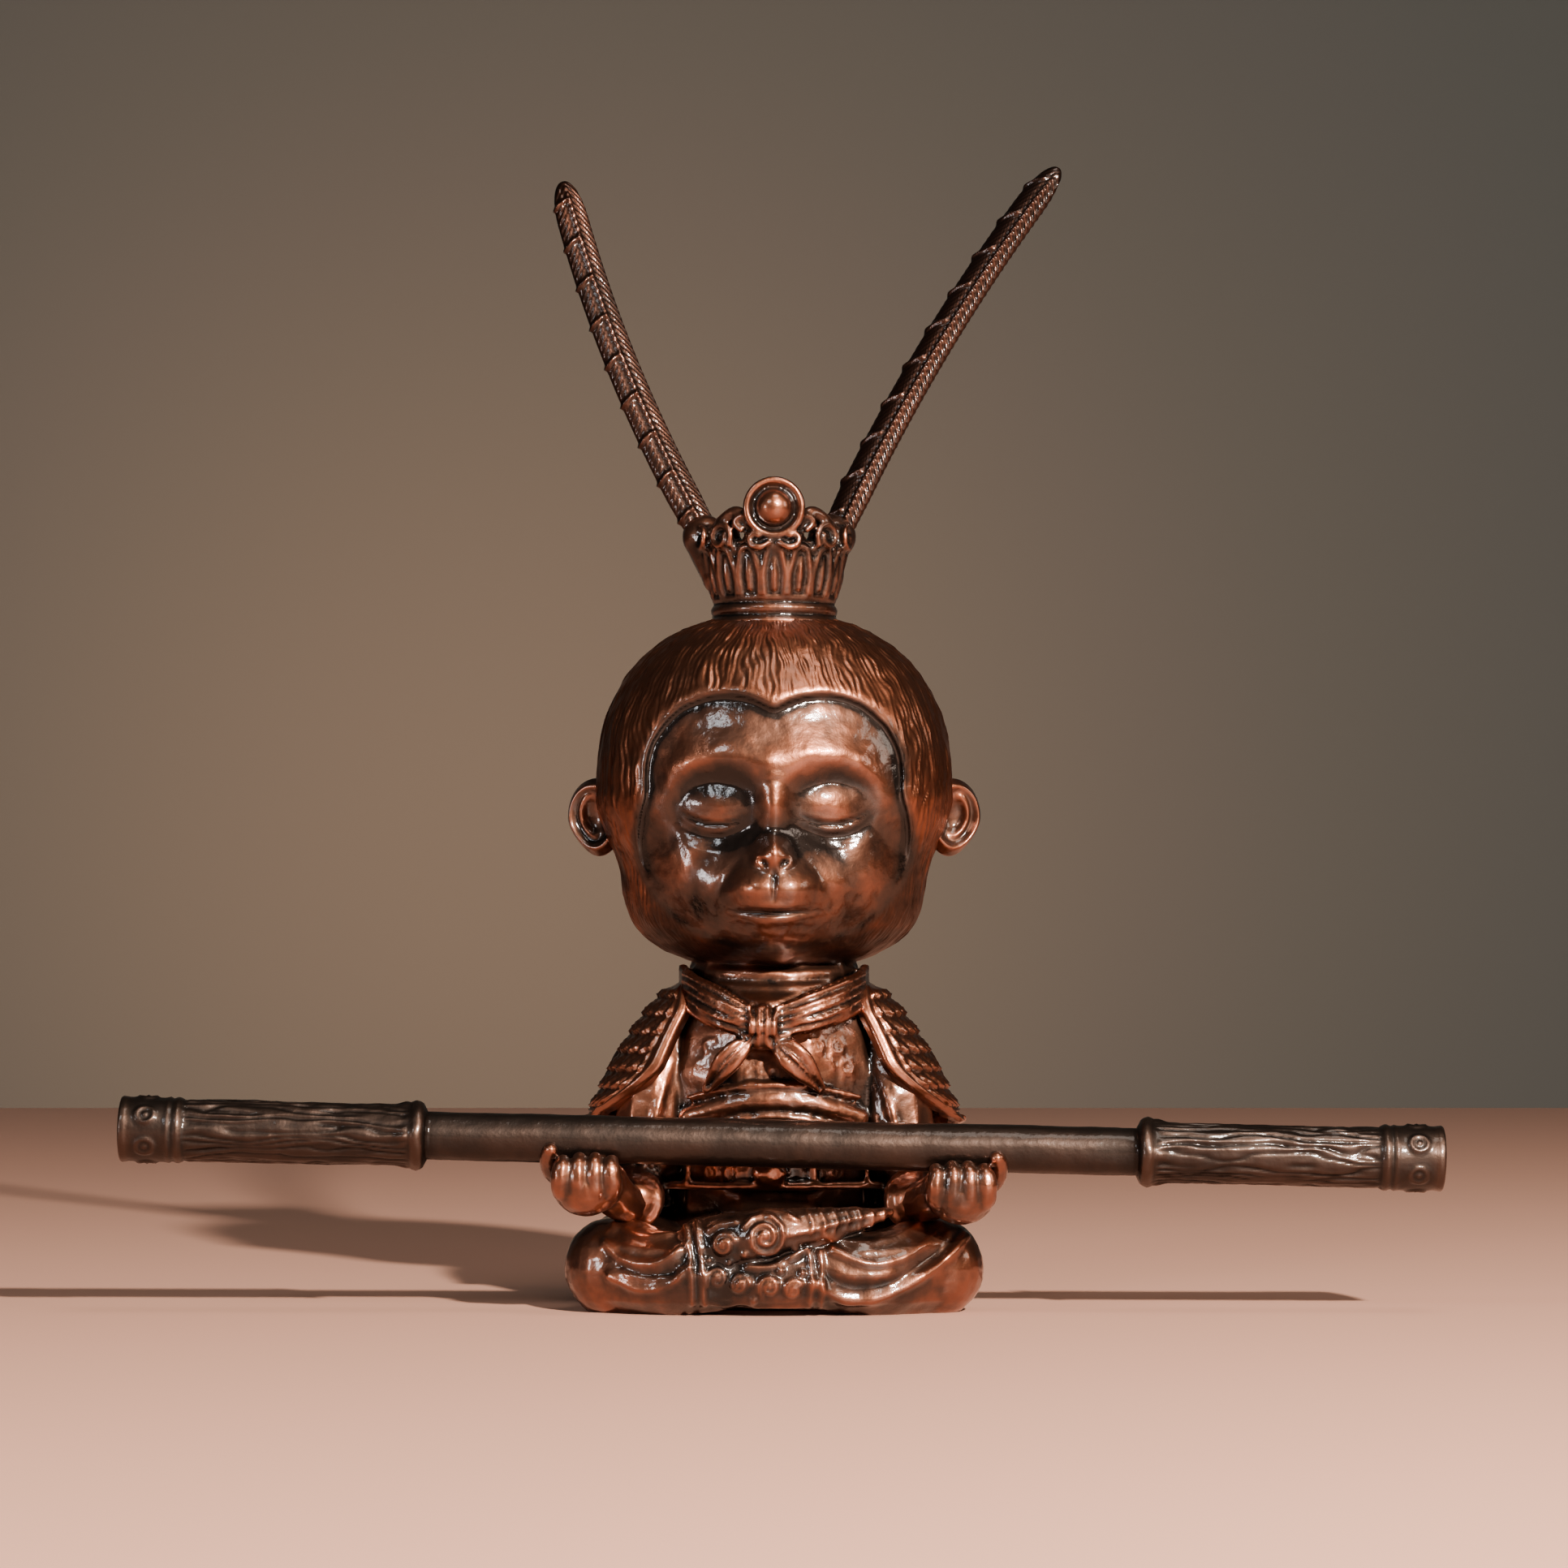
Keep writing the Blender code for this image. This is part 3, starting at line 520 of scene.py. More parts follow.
def face_patina_and_painted_shade(x, z):
    """Darker with patina by the hairline and round the muzzle, darker round the eyes and beside the nose as
    painted shade, and lighter on lids and cheeks.
    """
    ax = np.abs(x)
    edge = hairline(x, z)
    # Painted shade in and round the eye sockets and beside the nose
    dark = 0.4 * mound(np.hypot((ax - EYE[0] + 0.2) / 5.4, (z - EYE[1] - 0.5) / 4.4))
    dark += 0.18 * spot(ax, z, (2.9, 42.0), (2.4, 3.0))
    dark += 0.08 - 0.36 * spot(ax, z, EYE, (3.3, 2.7))
    dark += 0.45 * ridge(edge - 0.3, 0.4) * smoothstep(36.0, 41.0, z)
    dark += 0.22 * ridge(np.hypot(x / 7.4, (z - MUZZLE[1]) / 5.8) - 0.95, 0.14) * smoothstep(34.0, 36.0, z)
    dark -= 0.16 * spot(ax, z, (8.2, 39.8), (3.6, 3.6))
    return dark


def skull_points(directions):
    """The bare head in each direction from its middle, its sine and its cosine to the front."""
    across = np.hypot(directions[:, 0], directions[:, 1]) + 1e-9
    sine, cosine = directions[:, 0] / across, -directions[:, 1] / across
    tall = directions[:, 2]
    power = np.where(tall > 0, DOME_POWER, JAW_POWER)
    girth = np.clip(1.0 - np.abs(tall) ** power, 0.0, 1.0) ** (1.0 / power)
    below = np.clip(-tall / 0.85, 0.0, 1.0)
    girth *= 1.0 - JAW_TAPER * np.sin(math.pi * below) ** 2
    height = np.where(tall > 0, HEAD_HIGH - HEAD_MIDDLE, HEAD_MIDDLE - HEAD_LOW)
    x = HEAD_HALF_WIDTH * girth * sine
    y = -np.where(cosine > 0, HEAD_FRONT, HEAD_BACK) * girth * cosine
    return np.stack([x, y, HEAD_MIDDLE + height * tall], axis=1), sine, cosine


def hair_relief(points, sine, cosine, rng):
    """Combed strands that run down from the crown, finer and softer towards the rolled hairline."""
    locks = bpy.context.scene.figurine_sizes.hair_pitch
    angle = np.arctan2(sine, cosine)
    drift = 0.03 * wave_noise(points, 9.0, rng) + 0.018 * wave_noise(points, 2.4, rng)
    phase = (angle + drift) * locks / 2
    strand = 2.0 * np.abs(np.sin(phase)) ** 0.6 - 1.1
    strand += 0.5 * np.sin(phase * 0.53 + 1.1) + 0.25 * np.sin(phase * 0.31 + 0.5)
    stretched = np.stack([points[:, 0] * 1.2, points[:, 1] * 1.2, points[:, 2] * 0.35], axis=1)
    ends = np.clip(0.7 + 0.5 * wave_noise(stretched, 1.6, rng), 0.05, 1.5)
    return HAIR_DEPTH * strand * ends


def head_mesh():
    """The head, with how much darker each point is drawn, from patina and from painted shade and light, and
    where the hair's satin is.
    """
    rng = np.random.default_rng(SEED)
    bm = bmesh.new()
    bmesh.ops.create_uvsphere(bm, u_segments=HEAD_COLUMNS, v_segments=HEAD_ROWS, radius=1.0)
    mesh = mesh_of(bm)
    directions = points_of(mesh)
    points, sine, cosine = skull_points(directions)
    x, z = points[:, 0].copy(), points[:, 2].copy()
    front = smoothstep(0.1, 0.45, cosine)
    edge = hairline(x, z)
    bare = np.where(cosine > 0, smoothstep(-1.1, -0.2, edge), 0.0)
    beard = smoothstep(38.0, 33.0, z) * smoothstep(0.0, 0.6, cosine)
    hair = hair_relief(points, sine, cosine, rng) * (1 - bare) * (1 - 0.75 * beard)
    hair *= smoothstep(31.0, 34.0, z)
    outward = points - np.array([0.0, 0.0, HEAD_MIDDLE])
    outward /= np.linalg.norm(outward, axis=1)[:, None]
    points[:, 1] -= face_relief(x, z) * front
    points += outward * hair[:, None]
    uneven = 0.03 * wave_noise(points, 2.6, rng) + 0.012 * wave_noise(points, 1.2, rng)
    points += outward * uneven[:, None]
    place_points(mesh, points)
    rim = 0.22 * ridge(edge + 0.35, 0.4) * smoothstep(0.0, 0.3, cosine)
    # Painted light and shade on the hair: its top drawn lighter and the hair low down drawn darker
    hair_painted_light_and_shade = 0.3 * smoothstep(44.0, 35.0, z) - 0.2
    # Dark sums the face's patina and painted shade, the darker rolled rim, and the hair's painted light and
    # shade
    dark = face_patina_and_painted_shade(x, z) * front * bare + rim + hair_painted_light_and_shade * (1 - bare)
    return mesh, dark, 1.0 - bare


def ear_mesh(side):
    """A cupped ear: a rolled rim, an inner fold and a bowl."""
    bm = bmesh.new()
    bmesh.ops.create_uvsphere(bm, u_segments=EAR_SIDES, v_segments=EAR_RINGS, radius=1.0)
    mesh = mesh_of(bm)
    ball_points = points_of(mesh)
    u, v, w = ball_points[:, 0], ball_points[:, 1], ball_points[:, 2]
    reach = np.hypot(u, v)
    lobe = 1.0 - 0.22 * smoothstep(0.1, -1.0, v)
    out = EAR_HALF_WIDTH * u * lobe
    tall = EAR_HALF_HEIGHT * v
    bowl = ridge(reach - 0.80, 0.13) * 0.62 - 0.75 * spot(u, v, (0.0, -0.05), (0.72, 0.75))
    bowl *= smoothstep(-1.5, -0.2, u + 0.6 * np.abs(v))
    fold = ridge(np.hypot(u - 0.02, (v - 0.05) * 0.85) - 0.42, 0.10) * smoothstep(-0.25, 0.25, u)
    notch = spot(u, v, (-0.35, -0.2), (0.25, 0.3))
    cupped = EAR_DEPTH * w + (bowl + 0.42 * fold + 0.35 * notch) * smoothstep(0.0, 0.25, w)
    thick = np.where(w > 0, cupped, 0.9 * w)
    local = np.stack([side * out, -thick, tall], axis=1)
    lean = np.array(Euler((0, math.radians(side * 6), math.radians(side * 24))).to_matrix())
    place_points(mesh, local @ lean.T + np.array([side * EAR_PLACE[0], *EAR_PLACE[1:]]))
    if side < 0:
        mesh.flip_normals()
    return mesh


# Crown

CROWN_AXIS = (0.0, 0.3)
CROWN_PETALS = 16
CROWN_SCROLLS = 12
CROWN_SIDES = 64
# The crown's wall from axis to axis: distance from the axis and height
CROWN_WALL = (
    (0.0, 68.6), (4.4, 68.4), (4.9, 69.8), (6.5, 69.6), (6.4, 68.0),
    (5.7, 65.0), (5.2, 64.3), (5.75, 61.8), (5.2, 60.0), (0.0, 60.0),
)
# Hoops round the crown's foot: height, distance from the axis and thickness
CROWN_HOOPS = ((62.3, 5.55, 0.5), (63.5, 5.3, 0.55), (64.5, 5.45, 0.3))


def on_crown(angle, out, z, side=0.0):
    """A point on the crown: angle from the front, distance from its axis, height, and shift sideways."""
    sine, cosine = math.sin(angle), math.cos(angle)
    return (CROWN_AXIS[0] + out * sine + side * cosine, CROWN_AXIS[1] - out * cosine + side * sine, z)


def petal(clay, angle):
    """A tall pointed arch with a raised leaf in it and a bud beside its point."""
    half = 0.93
    arch = [
        on_crown(angle, 5.62, 64.9, -half),
        on_crown(angle, 6.15, 67.2, -half),
        on_crown(angle, 6.6, 69.0),
        on_crown(angle, 6.15, 67.2, half),
        on_crown(angle, 5.62, 64.9, half),
    ]
    limb(clay, arch, 0.29)
    leaf = [on_crown(angle, out, z) for out, z in ((5.75, 65.3), (6.05, 66.6), (6.3, 68.0))]
    limb(clay, leaf, [0.3, 0.36, 0.2])
    ball(clay, on_crown(angle + math.pi / CROWN_PETALS, 6.45, 68.9), (0.32, 0.32, 0.4))


def scroll(clay, angle, flip):
    """A curl that rolls in round a bead at the crown's rim."""
    curl = []
    for step in range(9):
        turn = math.radians(215 - step * 52)
        reach = 1.3 - 0.09 * step
        side, rise = flip * reach * math.cos(turn), reach * math.sin(turn)
        curl.append(on_crown(angle, 6.8 + 0.03 * step, 70.0 + rise, side))
    limb(clay, curl, [0.3] * 7 + [0.26, 0.22])
    ball(clay, on_crown(angle, 6.8, 70.0), (0.3, 0.3, 0.3))


def boss(clay):
    """The round boss at the crown's front: a raised rim round a large bead, two curls below and a bracket
    at each side."""
    ball(clay, (0, -5.7, 72.4), (2.55, 1.1, 2.55))
    ball(clay, (0, -5.3, 69.8), (2.2, 1.3, 2.2))
    hoop(clay, (0, -6.5, 72.5), 2.5, 2.5, 0.36, turn=(90, 0, 0))
    hoop(clay, (0, -6.25, 72.5), 2.1, 2.1, 0.22, turn=(90, 0, 0))
    ball(clay, (0, -6.6, 72.5), (1.68, 1.6, 1.68))
    for side in SIDES:
        curl = [(0.5, -6.7, 69.3), (1.4, -6.8, 68.9), (2.2, -6.5, 69.4), (2.0, -6.5, 70.1), (1.4, -6.7, 69.9)]
        limb(clay, both(curl, side), [0.24, 0.32, 0.32, 0.28, 0.22])
        wing = [(2.3, -5.8, 71.2), (3.3, -5.2, 72.1), (4.5, -4.3, 71.6), (5.3, -3.2, 70.9)]
        limb(clay, both(wing, side), [0.5, 0.66, 0.62, 0.5])
        limb(clay, both([(2.7, -6.1, 71.9), (3.5, -5.6, 71.3), (3.0, -5.9, 70.5)], side), [0.28, 0.36, 0.28])


def crown_mesh():
    clay = clay_box()
    wall = form(clay, turned(CROWN_WALL, CROWN_SIDES))
    wall.location = (*CROWN_AXIS, 0.0)
    for height, out, radius in CROWN_HOOPS:
        hoop(clay, (*CROWN_AXIS, height), out, out, radius)
    for step in range(CROWN_PETALS):
        petal(clay, step * math.tau / CROWN_PETALS)
    for step in range(CROWN_SCROLLS):
        angle = (step + 0.5) * math.tau / CROWN_SCROLLS
        ball(clay, on_crown(angle, 5.9, 69.9), (1.25, 1.0, 1.4), turn=(0, 0, math.degrees(angle)))
        if 0 < step < CROWN_SCROLLS - 1:
            scroll(clay, angle, 1 if step % 2 else -1)
    boss(clay)
    for name in PLUME_LEANS:
        root, axis = Vector(PLUME_ROOTS[name]), plume_axis(name)
        limb(clay, [root - axis * 4.4, root - axis * 0.2], [1.7, 2.05])
    return fused(clay, own_size("fine_voxel"), soften=2)


# Robe: torso, scarf, belt, skirt, arms and sleeves

ROBE_COARSENESS = 1.06
# Hoops of the scarf: height, reach to the side, drop at the front and thickness
SCARF_HOOPS = ((31.3, 6.8, 1.2, 0.7), (30.4, 7.5, 1.7, 0.7), (29.4, 8.3, 1.6, 0.75), (28.6, 9.0, 1.2, 0.7))
# Bars of the belt: height, reach to the front, bow and thickness
BELT_BARS = ((20.3, 8.15, 0.02, 0.34), (18.9, 7.6, 0.028, 1.05), (17.4, 8.1, 0.032, 0.42))
BELT_STOPS = (-7.6, -5.0, -2.5, 0.0, 2.5, 5.0, 7.6)
KNOT = (-1.0, -9.0, 25.5)
# The scarf's ends: root, middle, tip and half width
TAILS = (
    ((-1.9, -9.1, 24.7), (-4.1, -9.1, 22.6), (-6.2, -8.2, 19.8), 0.72),
    ((-0.1, -9.2, 24.5), (2.0, -9.3, 22.6), (4.3, -8.5, 19.9), 0.95),
)


def torso(clay):
    spine = [(0, 2.6, 2.0), (0, 3.0, 6.0), (0, 3.4, 8.6), (0, 0.8, 11.6), (0, 0.4, 16.0), (0, 0.4, 21.0),
             (0, 0.4, 25.0), (0, 0.4, 28.5), (0, 0.4, 33.0)]
    limb(clay, spine, [12.0, 12.0, 9.2, 9.9, 10.3, 10.6, 9.9, 8.4, 7.2], squash=(1, 0.8, 1))
    ball(clay, (0, 4.8, 6.5), (13.0, 8.6, 7.5))


def scarf(clay):
    """Folds drawn from both shoulders under the chin to a pleated knot with two hanging ends."""
    for height, across, drop, radius in SCARF_HOOPS:
        hoop(clay, (0, 0.2, height), across, across * 0.88, radius, front_drop=drop)
    for side in SIDES:
        for step in range(5):
            low, belly = 0.66 * step, 0.5 * math.sin(step * math.pi / 4)
            fold = [
                (side * 8.3, -1.2, 30.7 - 1.1 * low),
                (side * 7.4, -5.3, 29.9 - 1.1 * low),
                (side * (4.4 + 0.1 * step) - 0.3, -8.3 - belly, 28.7 - 1.12 * low - 0.15 * belly),
                (side * 1.3 - 0.9, -9.3 - 0.3 * belly, 27.3 - 0.95 * low),
            ]
            limb(clay, fold, [0.5, 0.52, 0.5, 0.32])
    ball(clay, KNOT, (1.35, 1.15, 2.1))
    for shift in (-0.95, -0.35, 0.3, 0.9):
        pleat = [(KNOT[0] + shift * 1.25, -9.2, 27.2), (KNOT[0] + shift, -10.05, 25.6),
                 (KNOT[0] + shift * 1.2, -9.2, 23.7)]
        limb(clay, pleat, [0.26, 0.4, 0.26])
    for root, middle, tip, spread in TAILS:
        limb(clay, [root, middle, tip], [0.75, 1.15, 0.3])
        way = Vector((tip[0] - root[0], 0, tip[2] - root[2])).normalized()
        across = Vector((-way.z, 0, way.x)) * spread
        for shift in (-1, 0, 1):
            start = Vector(root) + across * shift * 0.4 + Vector((0, -0.2, 0))
            edge = Vector(middle) + across * shift + Vector((0, -0.55 if shift else -0.75, 0))
            end = Vector(tip) + across * shift * 0.25
            limb(clay, [start, edge, end], [0.36, 0.5, 0.24])


def scarf_relief(points, normals):
    """Creases between the scarf's folds, pleats in its knot and a crease along each end."""
    flat = points[:, [0, 2]]
    rise = np.zeros(len(points))
    for side in SIDES:
        for step in range(6):
            low = 0.66 * step - 0.33
            crease = [(side * 8.3, 30.4 - 1.1 * low), (side * 7.3, 29.9 - 1.12 * low),
                      (side * (4.4 + 0.1 * step) - 0.3, 28.7 - 1.14 * low),
                      (side * 1.5 - 0.95, 27.35 - 0.97 * low)]
            rise -= 0.3 * stroke(flat, crease, 0.17)
        for step in range(2):
            tuck = [(side * 6.8, 28.6 - 1.4 * step), (side * 4.6 - 0.3, 27.6 - 1.3 * step),
                    (side * 2.4 - 0.6, 26.9 - 0.8 * step)]
            rise += 0.24 * stroke(flat, tuck, 0.24)
    folded = smoothstep(-7.4, -8.4, points[:, 1]) * smoothstep(24.0, 24.6, points[:, 2])
    rise *= np.maximum(folded, smoothstep(26.6, 27.6, points[:, 2]))
    rise *= smoothstep(1.2, 1.6, np.abs(points[:, 0] - KNOT[0]))
    for shift in (-0.66, 0.0, 0.66):
        pleat = [(KNOT[0] + shift * 1.3, 27.3), (KNOT[0] + shift, 25.5), (KNOT[0] + shift * 1.35, 23.5)]
        rise -= 0.34 * stroke(flat, pleat, 0.15) * (points[:, 1] < -8.8)
    for root, middle, tip, spread in TAILS:
        for shift in (-0.5, 0.5):
            crease = [(root[0] + shift * 0.5, root[2]), (middle[0] + shift * spread, middle[2]), tip[::2]]
            rise -= 0.26 * stroke(flat, crease, 0.15) * (points[:, 1] < -8.6)
    return rise * smoothstep(0.1, -0.3, normals[:, 1])


def robe(clay):
    """Sleeves, belt and skirt, with a plain round brooch."""
    for side in SIDES:
        limb(clay, both([(10.4, 3.6, 6.0), (10.8, 2.6, 11.0), (10.6, 2.0, 17.0)], side), [3.4, 3.4, 3.2])
        sleeve = [(8.6, -0.4, 26.2), (10.9, -2.4, 20.0), (11.3, -2.7, 14.5)]
        limb(clay, both(sleeve, side), [2.5, 3.2, 3.6])
        fold = [(9.2, -4.4, 22.5), (10.6, -5.7, 18.0), (11.4, -6.1, 14.5)]
        limb(clay, both(fold, side), [0.25, 0.5, 0.35])
    for height, out, bow, radius in BELT_BARS:
        belt = [(x, -out + 0.032 * x * x, height - bow * x * x) for x in BELT_STOPS]
        limb(clay, belt, radius)
    skirt = [(x, -7.75 + 0.026 * x * x, 11.2) for x in (-9.4, -6.3, -3.1, 0.0, 3.1, 6.3, 9.4)]
    limb(clay, skirt, 0.42)
    for x in (-7.6, 3.6, 8.2):
        limb(clay, [(x, -7.75 + 0.028 * x * x, 16.0), (x * 1.03, -7.75 + 0.026 * x * x, 11.3)], 0.26)
    ball(clay, (-0.4, -8.0, 12.4), (1.6, 0.8, 1.1))
    hoop(clay, (-0.4, -8.4, 12.4), 1.25, 0.85, 0.24, turn=(90, 0, 0))


def arm(clay, side):
    limb(clay, both([(9.0, 0.8, 24.5), (12.4, 1.4, 20.0), (12.6, 0.6, 15.0)], side), [3.2, 3.4, 3.3])
    limb(clay, both([(12.6, 0.4, 13.6), (12.5, -3.8, 11.2), (12.4, -7.4, 9.9)], side), [3.3, 2.8, 2.35])
    for step in range(3):
        y = -2.2 - 1.7 * step
        crease = [(12.4 + 2.6 - 0.2 * step, y + 1.0, 11.5 - 0.6 * step), (14.2, y - 0.3, 13.4 - 0.7 * step),
                  (11.6, y - 0.6, 14.0 - 0.8 * step)]
        limb(clay, both(crease, side), [0.3, 0.5, 0.3])
    hoop(clay, (side * 12.4, -7.6, 9.8), 2.3, 2.3, 0.42, turn=(80, 0, side * 25))
    hoop(clay, (side * 12.3, -6.9, 10.0), 2.4, 2.4, 0.36, turn=(80, 0, side * 25))


BROCADE_PITCH, BROCADE_DEPTH = 1.9, 0.17


def brocade(points, normals):
    """A woven ornament of rings and leaves on the robe's front, below the scarf."""
    x, y, z = points.T
    on_front = smoothstep(-0.35, -0.7, normals[:, 1]) * smoothstep(-5.0, -5.8, y)
    on_front *= smoothstep(11.6, 12.1, z) * (1 - smoothstep(24.0, 24.8, z)) * (np.abs(x) < 13.0)
    band = (z > 16.8) & (z < 20.6)
    u, v = x / BROCADE_PITCH, z / BROCADE_PITCH
    row = np.floor(v)
    u = u + 0.5 * (row % 2)
    du, dv = u - np.round(u), v - row - 0.5
    reach = np.hypot(du, dv)
    petals = 0.5 + 0.5 * np.cos(6 * np.arctan2(dv, du))
    flat = points[:, [0, 2]]
    for root, middle, tip, _ in TAILS:
        tail = smooth_line([p[::2] for p in (root, middle, tip)])
        on_front *= smoothstep(1.5, 2.1, distance_to(flat, tail))
    on_front *= smoothstep(2.2, 2.8, np.hypot(x - KNOT[0], (z - KNOT[2]) * 0.8))
    figure = ridge(reach - 0.3, 0.09) + 0.8 * ridge(reach, 0.12) + 0.6 * petals * ridge(reach - 0.46, 0.08)
    return BROCADE_DEPTH * figure * on_front * np.where(band, 0.25, 1.0)


def drape(points, normals):
    """Hanging folds round the back and the sides of the robe, below the cape."""
    x, y, z = points.T
    turn = np.arctan2(x, y)
    wander = 0.5 * np.sin(3.0 * turn + 0.22 * z) + 0.3 * np.sin(7.0 * turn + 1.0)
    fold = np.sin(13.0 * turn + wander) + 0.45 * np.sin(23.0 * turn - 0.15 * z + wander)
    behind = smoothstep(0.5, 3.5, y) * smoothstep(0.6, 2.6, z) * (1 - smoothstep(15.0, 18.0, z))
    return 0.26 * fold * behind * smoothstep(0.75, 0.4, np.abs(normals[:, 2]))


def robe_mesh():
    rng = np.random.default_rng(SEED + 1)
    clay = clay_box()
    torso(clay)
    scarf(clay)
    robe(clay)
    for side in SIDES:
        arm(clay, side)
    mesh = fused(clay, ROBE_COARSENESS * own_size("cast_voxel"), soften=2)
    points, normals = points_of(mesh), normals_of(mesh)
    rise = brocade(points, normals) + scarf_relief(points, normals) + drape(points, normals)
    rise += 0.035 * wave_noise(points, 2.4, rng)
    points += normals * rise[:, None]
    points[:, 2] = np.maximum(points[:, 2], 0.0)
    place_points(mesh, points)
    return mesh


# Cape

CAPE_HIGH, CAPE_LOW = 29.6, 17.2
CAPE_THICKNESS = 0.9
CAPE_COLUMNS, CAPE_ROWS = 300, 84
# The cape's opening at the chest, in degrees to each side, and how much wider it is at collar and hem
CHEST_OPENING, COLLAR_OPENING, HEM_OPENING = 44.0, 18.0, 34.0
# The cape laid flat: from collar to hem, half round the collar, and how much wider half the hem is
CAPE_FALL, CAPE_COLLAR, CAPE_FLARE = 15.5, 24.0, 12.0
SCALE_DEPTH = 0.4


def cape_point(share, drop):
    """A point of the shoulder cape: share -1 to 1 from one front edge round the back to the other."""
    opening = CHEST_OPENING + COLLAR_OPENING * max(0.0, 1.0 - drop / 0.25) ** 2
    opening += HEM_OPENING * max(0.0, (drop - 0.55) / 0.45) ** 2
    angle = math.radians(share * (180.0 - opening))
    across = 8.3 + 9.0 * drop**0.66
    deep = 6.9 + 4.6 * drop**0.8
    low = CAPE_LOW - 1.2 * math.cos(angle / 2) ** 2 * drop
    height = CAPE_HIGH + (low - CAPE_HIGH) * drop
    return Vector((across * math.sin(angle), 0.6 + deep * math.cos(angle), height))


def scale_relief(share, drop):
    """Rows of overlapping scales, each highest at its rounded lower edge, kept off the hems."""
    pitch = own_size("scale_pitch")
    v = drop * CAPE_FALL / pitch
    row = np.floor(v)
    u = share * (CAPE_COLLAR + CAPE_FLARE * drop) / pitch + 0.5 * (row % 2)
    du, dv = u - np.round(u), v - row
    lower = 0.6 + 0.4 * np.sqrt(np.clip(1.0 - (du * 2.0) ** 2, 0.0, 1.0))
    inside = dv / lower
    dome = 1.0 - 0.75 * (du * 2.0) ** 2
    tile = np.where(inside < 1.0, (0.15 + 0.85 * inside**0.8) * dome, 0.0)
    quill = ridge(du, 0.07) * mound((inside - 0.6) / 0.5)
    barbs = 0.1 * np.sin(inside * 22.0 - np.abs(du) * 16.0) * (inside < 1.0)
    kept = smoothstep(0.03, 0.1, drop) * (1 - smoothstep(0.9, 0.95, drop))
    kept *= 1 - smoothstep(0.93, 0.965, np.abs(share))
    return SCALE_DEPTH * (tile + 0.3 * quill + barbs) * kept


def cape_mesh():
    """A grid bent round the shoulders, raised into scales and two rolled hems, and given its thickness."""
    bm = bmesh.new()
    bmesh.ops.create_grid(bm, x_segments=CAPE_COLUMNS, y_segments=CAPE_ROWS, size=1.0)
    flat = np.array([v.co for v in bm.verts])
    share, drop = flat[:, 0], (1.0 - flat[:, 1]) / 2.0
    for vertex, s, d in zip(bm.verts, share, drop):
        vertex.co = cape_point(s, d)
    bmesh.ops.recalc_face_normals(bm, faces=bm.faces)
    middle = next(f for f in bm.faces if f.calc_center_median().y > 6)
    if middle.normal.y < 0:
        bmesh.ops.reverse_faces(bm, faces=bm.faces)
    bm.normal_update()
    hem = ridge((np.abs(share) - 0.975), 0.018) + ridge(drop - 0.975, 0.022)
    second = ridge((np.abs(share) - 0.935), 0.009) + ridge(drop - 0.915, 0.011)
    rise = scale_relief(share, drop) + 0.42 * np.clip(hem, 0, 1) + 0.2 * np.clip(second, 0, 1)
    for vertex, up in zip(bm.verts, rise):
        vertex.co += vertex.normal * up
    bmesh.ops.solidify(bm, geom=bm.faces[:], thickness=CAPE_THICKNESS)
    bmesh.ops.recalc_face_normals(bm, faces=bm.faces)
    return mesh_of(bm)


# Hands

STAFF_GAP = 0.06


def staff_height(x):
    return STAFF_CENTRE[2] + STAFF_SLOPE * (x - STAFF_CENTRE[0])


def clear_of_staff(points):
    """Pushes points that lie inside the staff out to its skin."""
    x, y, z = points.T
    dy, dz = y - STAFF_CENTRE[1], z - staff_height(x)
    away = np.hypot(dy, dz) + 1e-9
    push = np.maximum(SHAFT_RADIUS + STAFF_GAP - away, 0.0) / away
    points[:, 1] += dy * push
    points[:, 2] += dz * push


def hand(clay, side):
    """A round palm under the staff, with four fingers curled up in front of it and the thumb outside."""
    seat = staff_height(side * HAND_X) - SHAFT_RADIUS
    front = STAFF_CENTRE[1] - SHAFT_RADIUS
    ball(clay, (side * 16.6, -12.3, seat - 1.85), (3.15, 3.35, 2.8), turn=(0, side * 8, 0))
    ball(clay, (side * 16.5, front + 0.6, seat - 1.7), (2.7, 1.9, 2.3), turn=(12, 0, 0))
    wrist = [(12.2, -7.2, 9.7), (13.6, -9.2, 10.0), (15.2, -10.8, seat - 1.8)]
    limb(clay, both(wrist, side), [1.9, 1.9, 2.2])
    for step in range(4):
        fan = (step - 1.5) / 1.5
        x = HAND_X + 0.2 + fan * 2.15
        low = 0.8 * (1 - fan * fan)
        finger = [
            (16.6 + fan * 1.1, -11.6, seat - 2.9 - low * 0.6),
            (x, front - 0.35, seat - 2.3 - low * 0.7),
            (x + fan * 0.1, front - 1.1, seat - 1.35 - low * 0.4),
            (x, front - 1.0, seat - 0.2 + low * 0.2),
            (x * 0.995, front - 0.55, seat + 0.3 + low * 0.3),
        ]
        limb(clay, both(finger, side), [0.7, 0.92, 0.95, 0.88, 0.66])
    thumb = [(18.9, -10.4, seat - 1.4), (19.9, -12.0, seat - 0.3), (20.0, -13.3, seat + 0.8),
             (19.8, -14.0, seat + 1.3)]
    limb(clay, both(thumb, side), [1.1, 0.9, 0.8, 0.66])


def hands_mesh():
    rng = np.random.default_rng(SEED + 2)
    clay = clay_box()
    for side in SIDES:
        hand(clay, side)
    mesh = fused(clay, own_size("fine_voxel"), soften=1)
    points, normals = points_of(mesh), normals_of(mesh)
    points += normals * (0.03 * wave_noise(points, 1.8, rng))[:, None]
    clear_of_staff(points)
    place_points(mesh, points)
    return mesh


# Legs and boots

LEGS_COARSENESS = 0.85
BOOT_RELIEF = 0.72
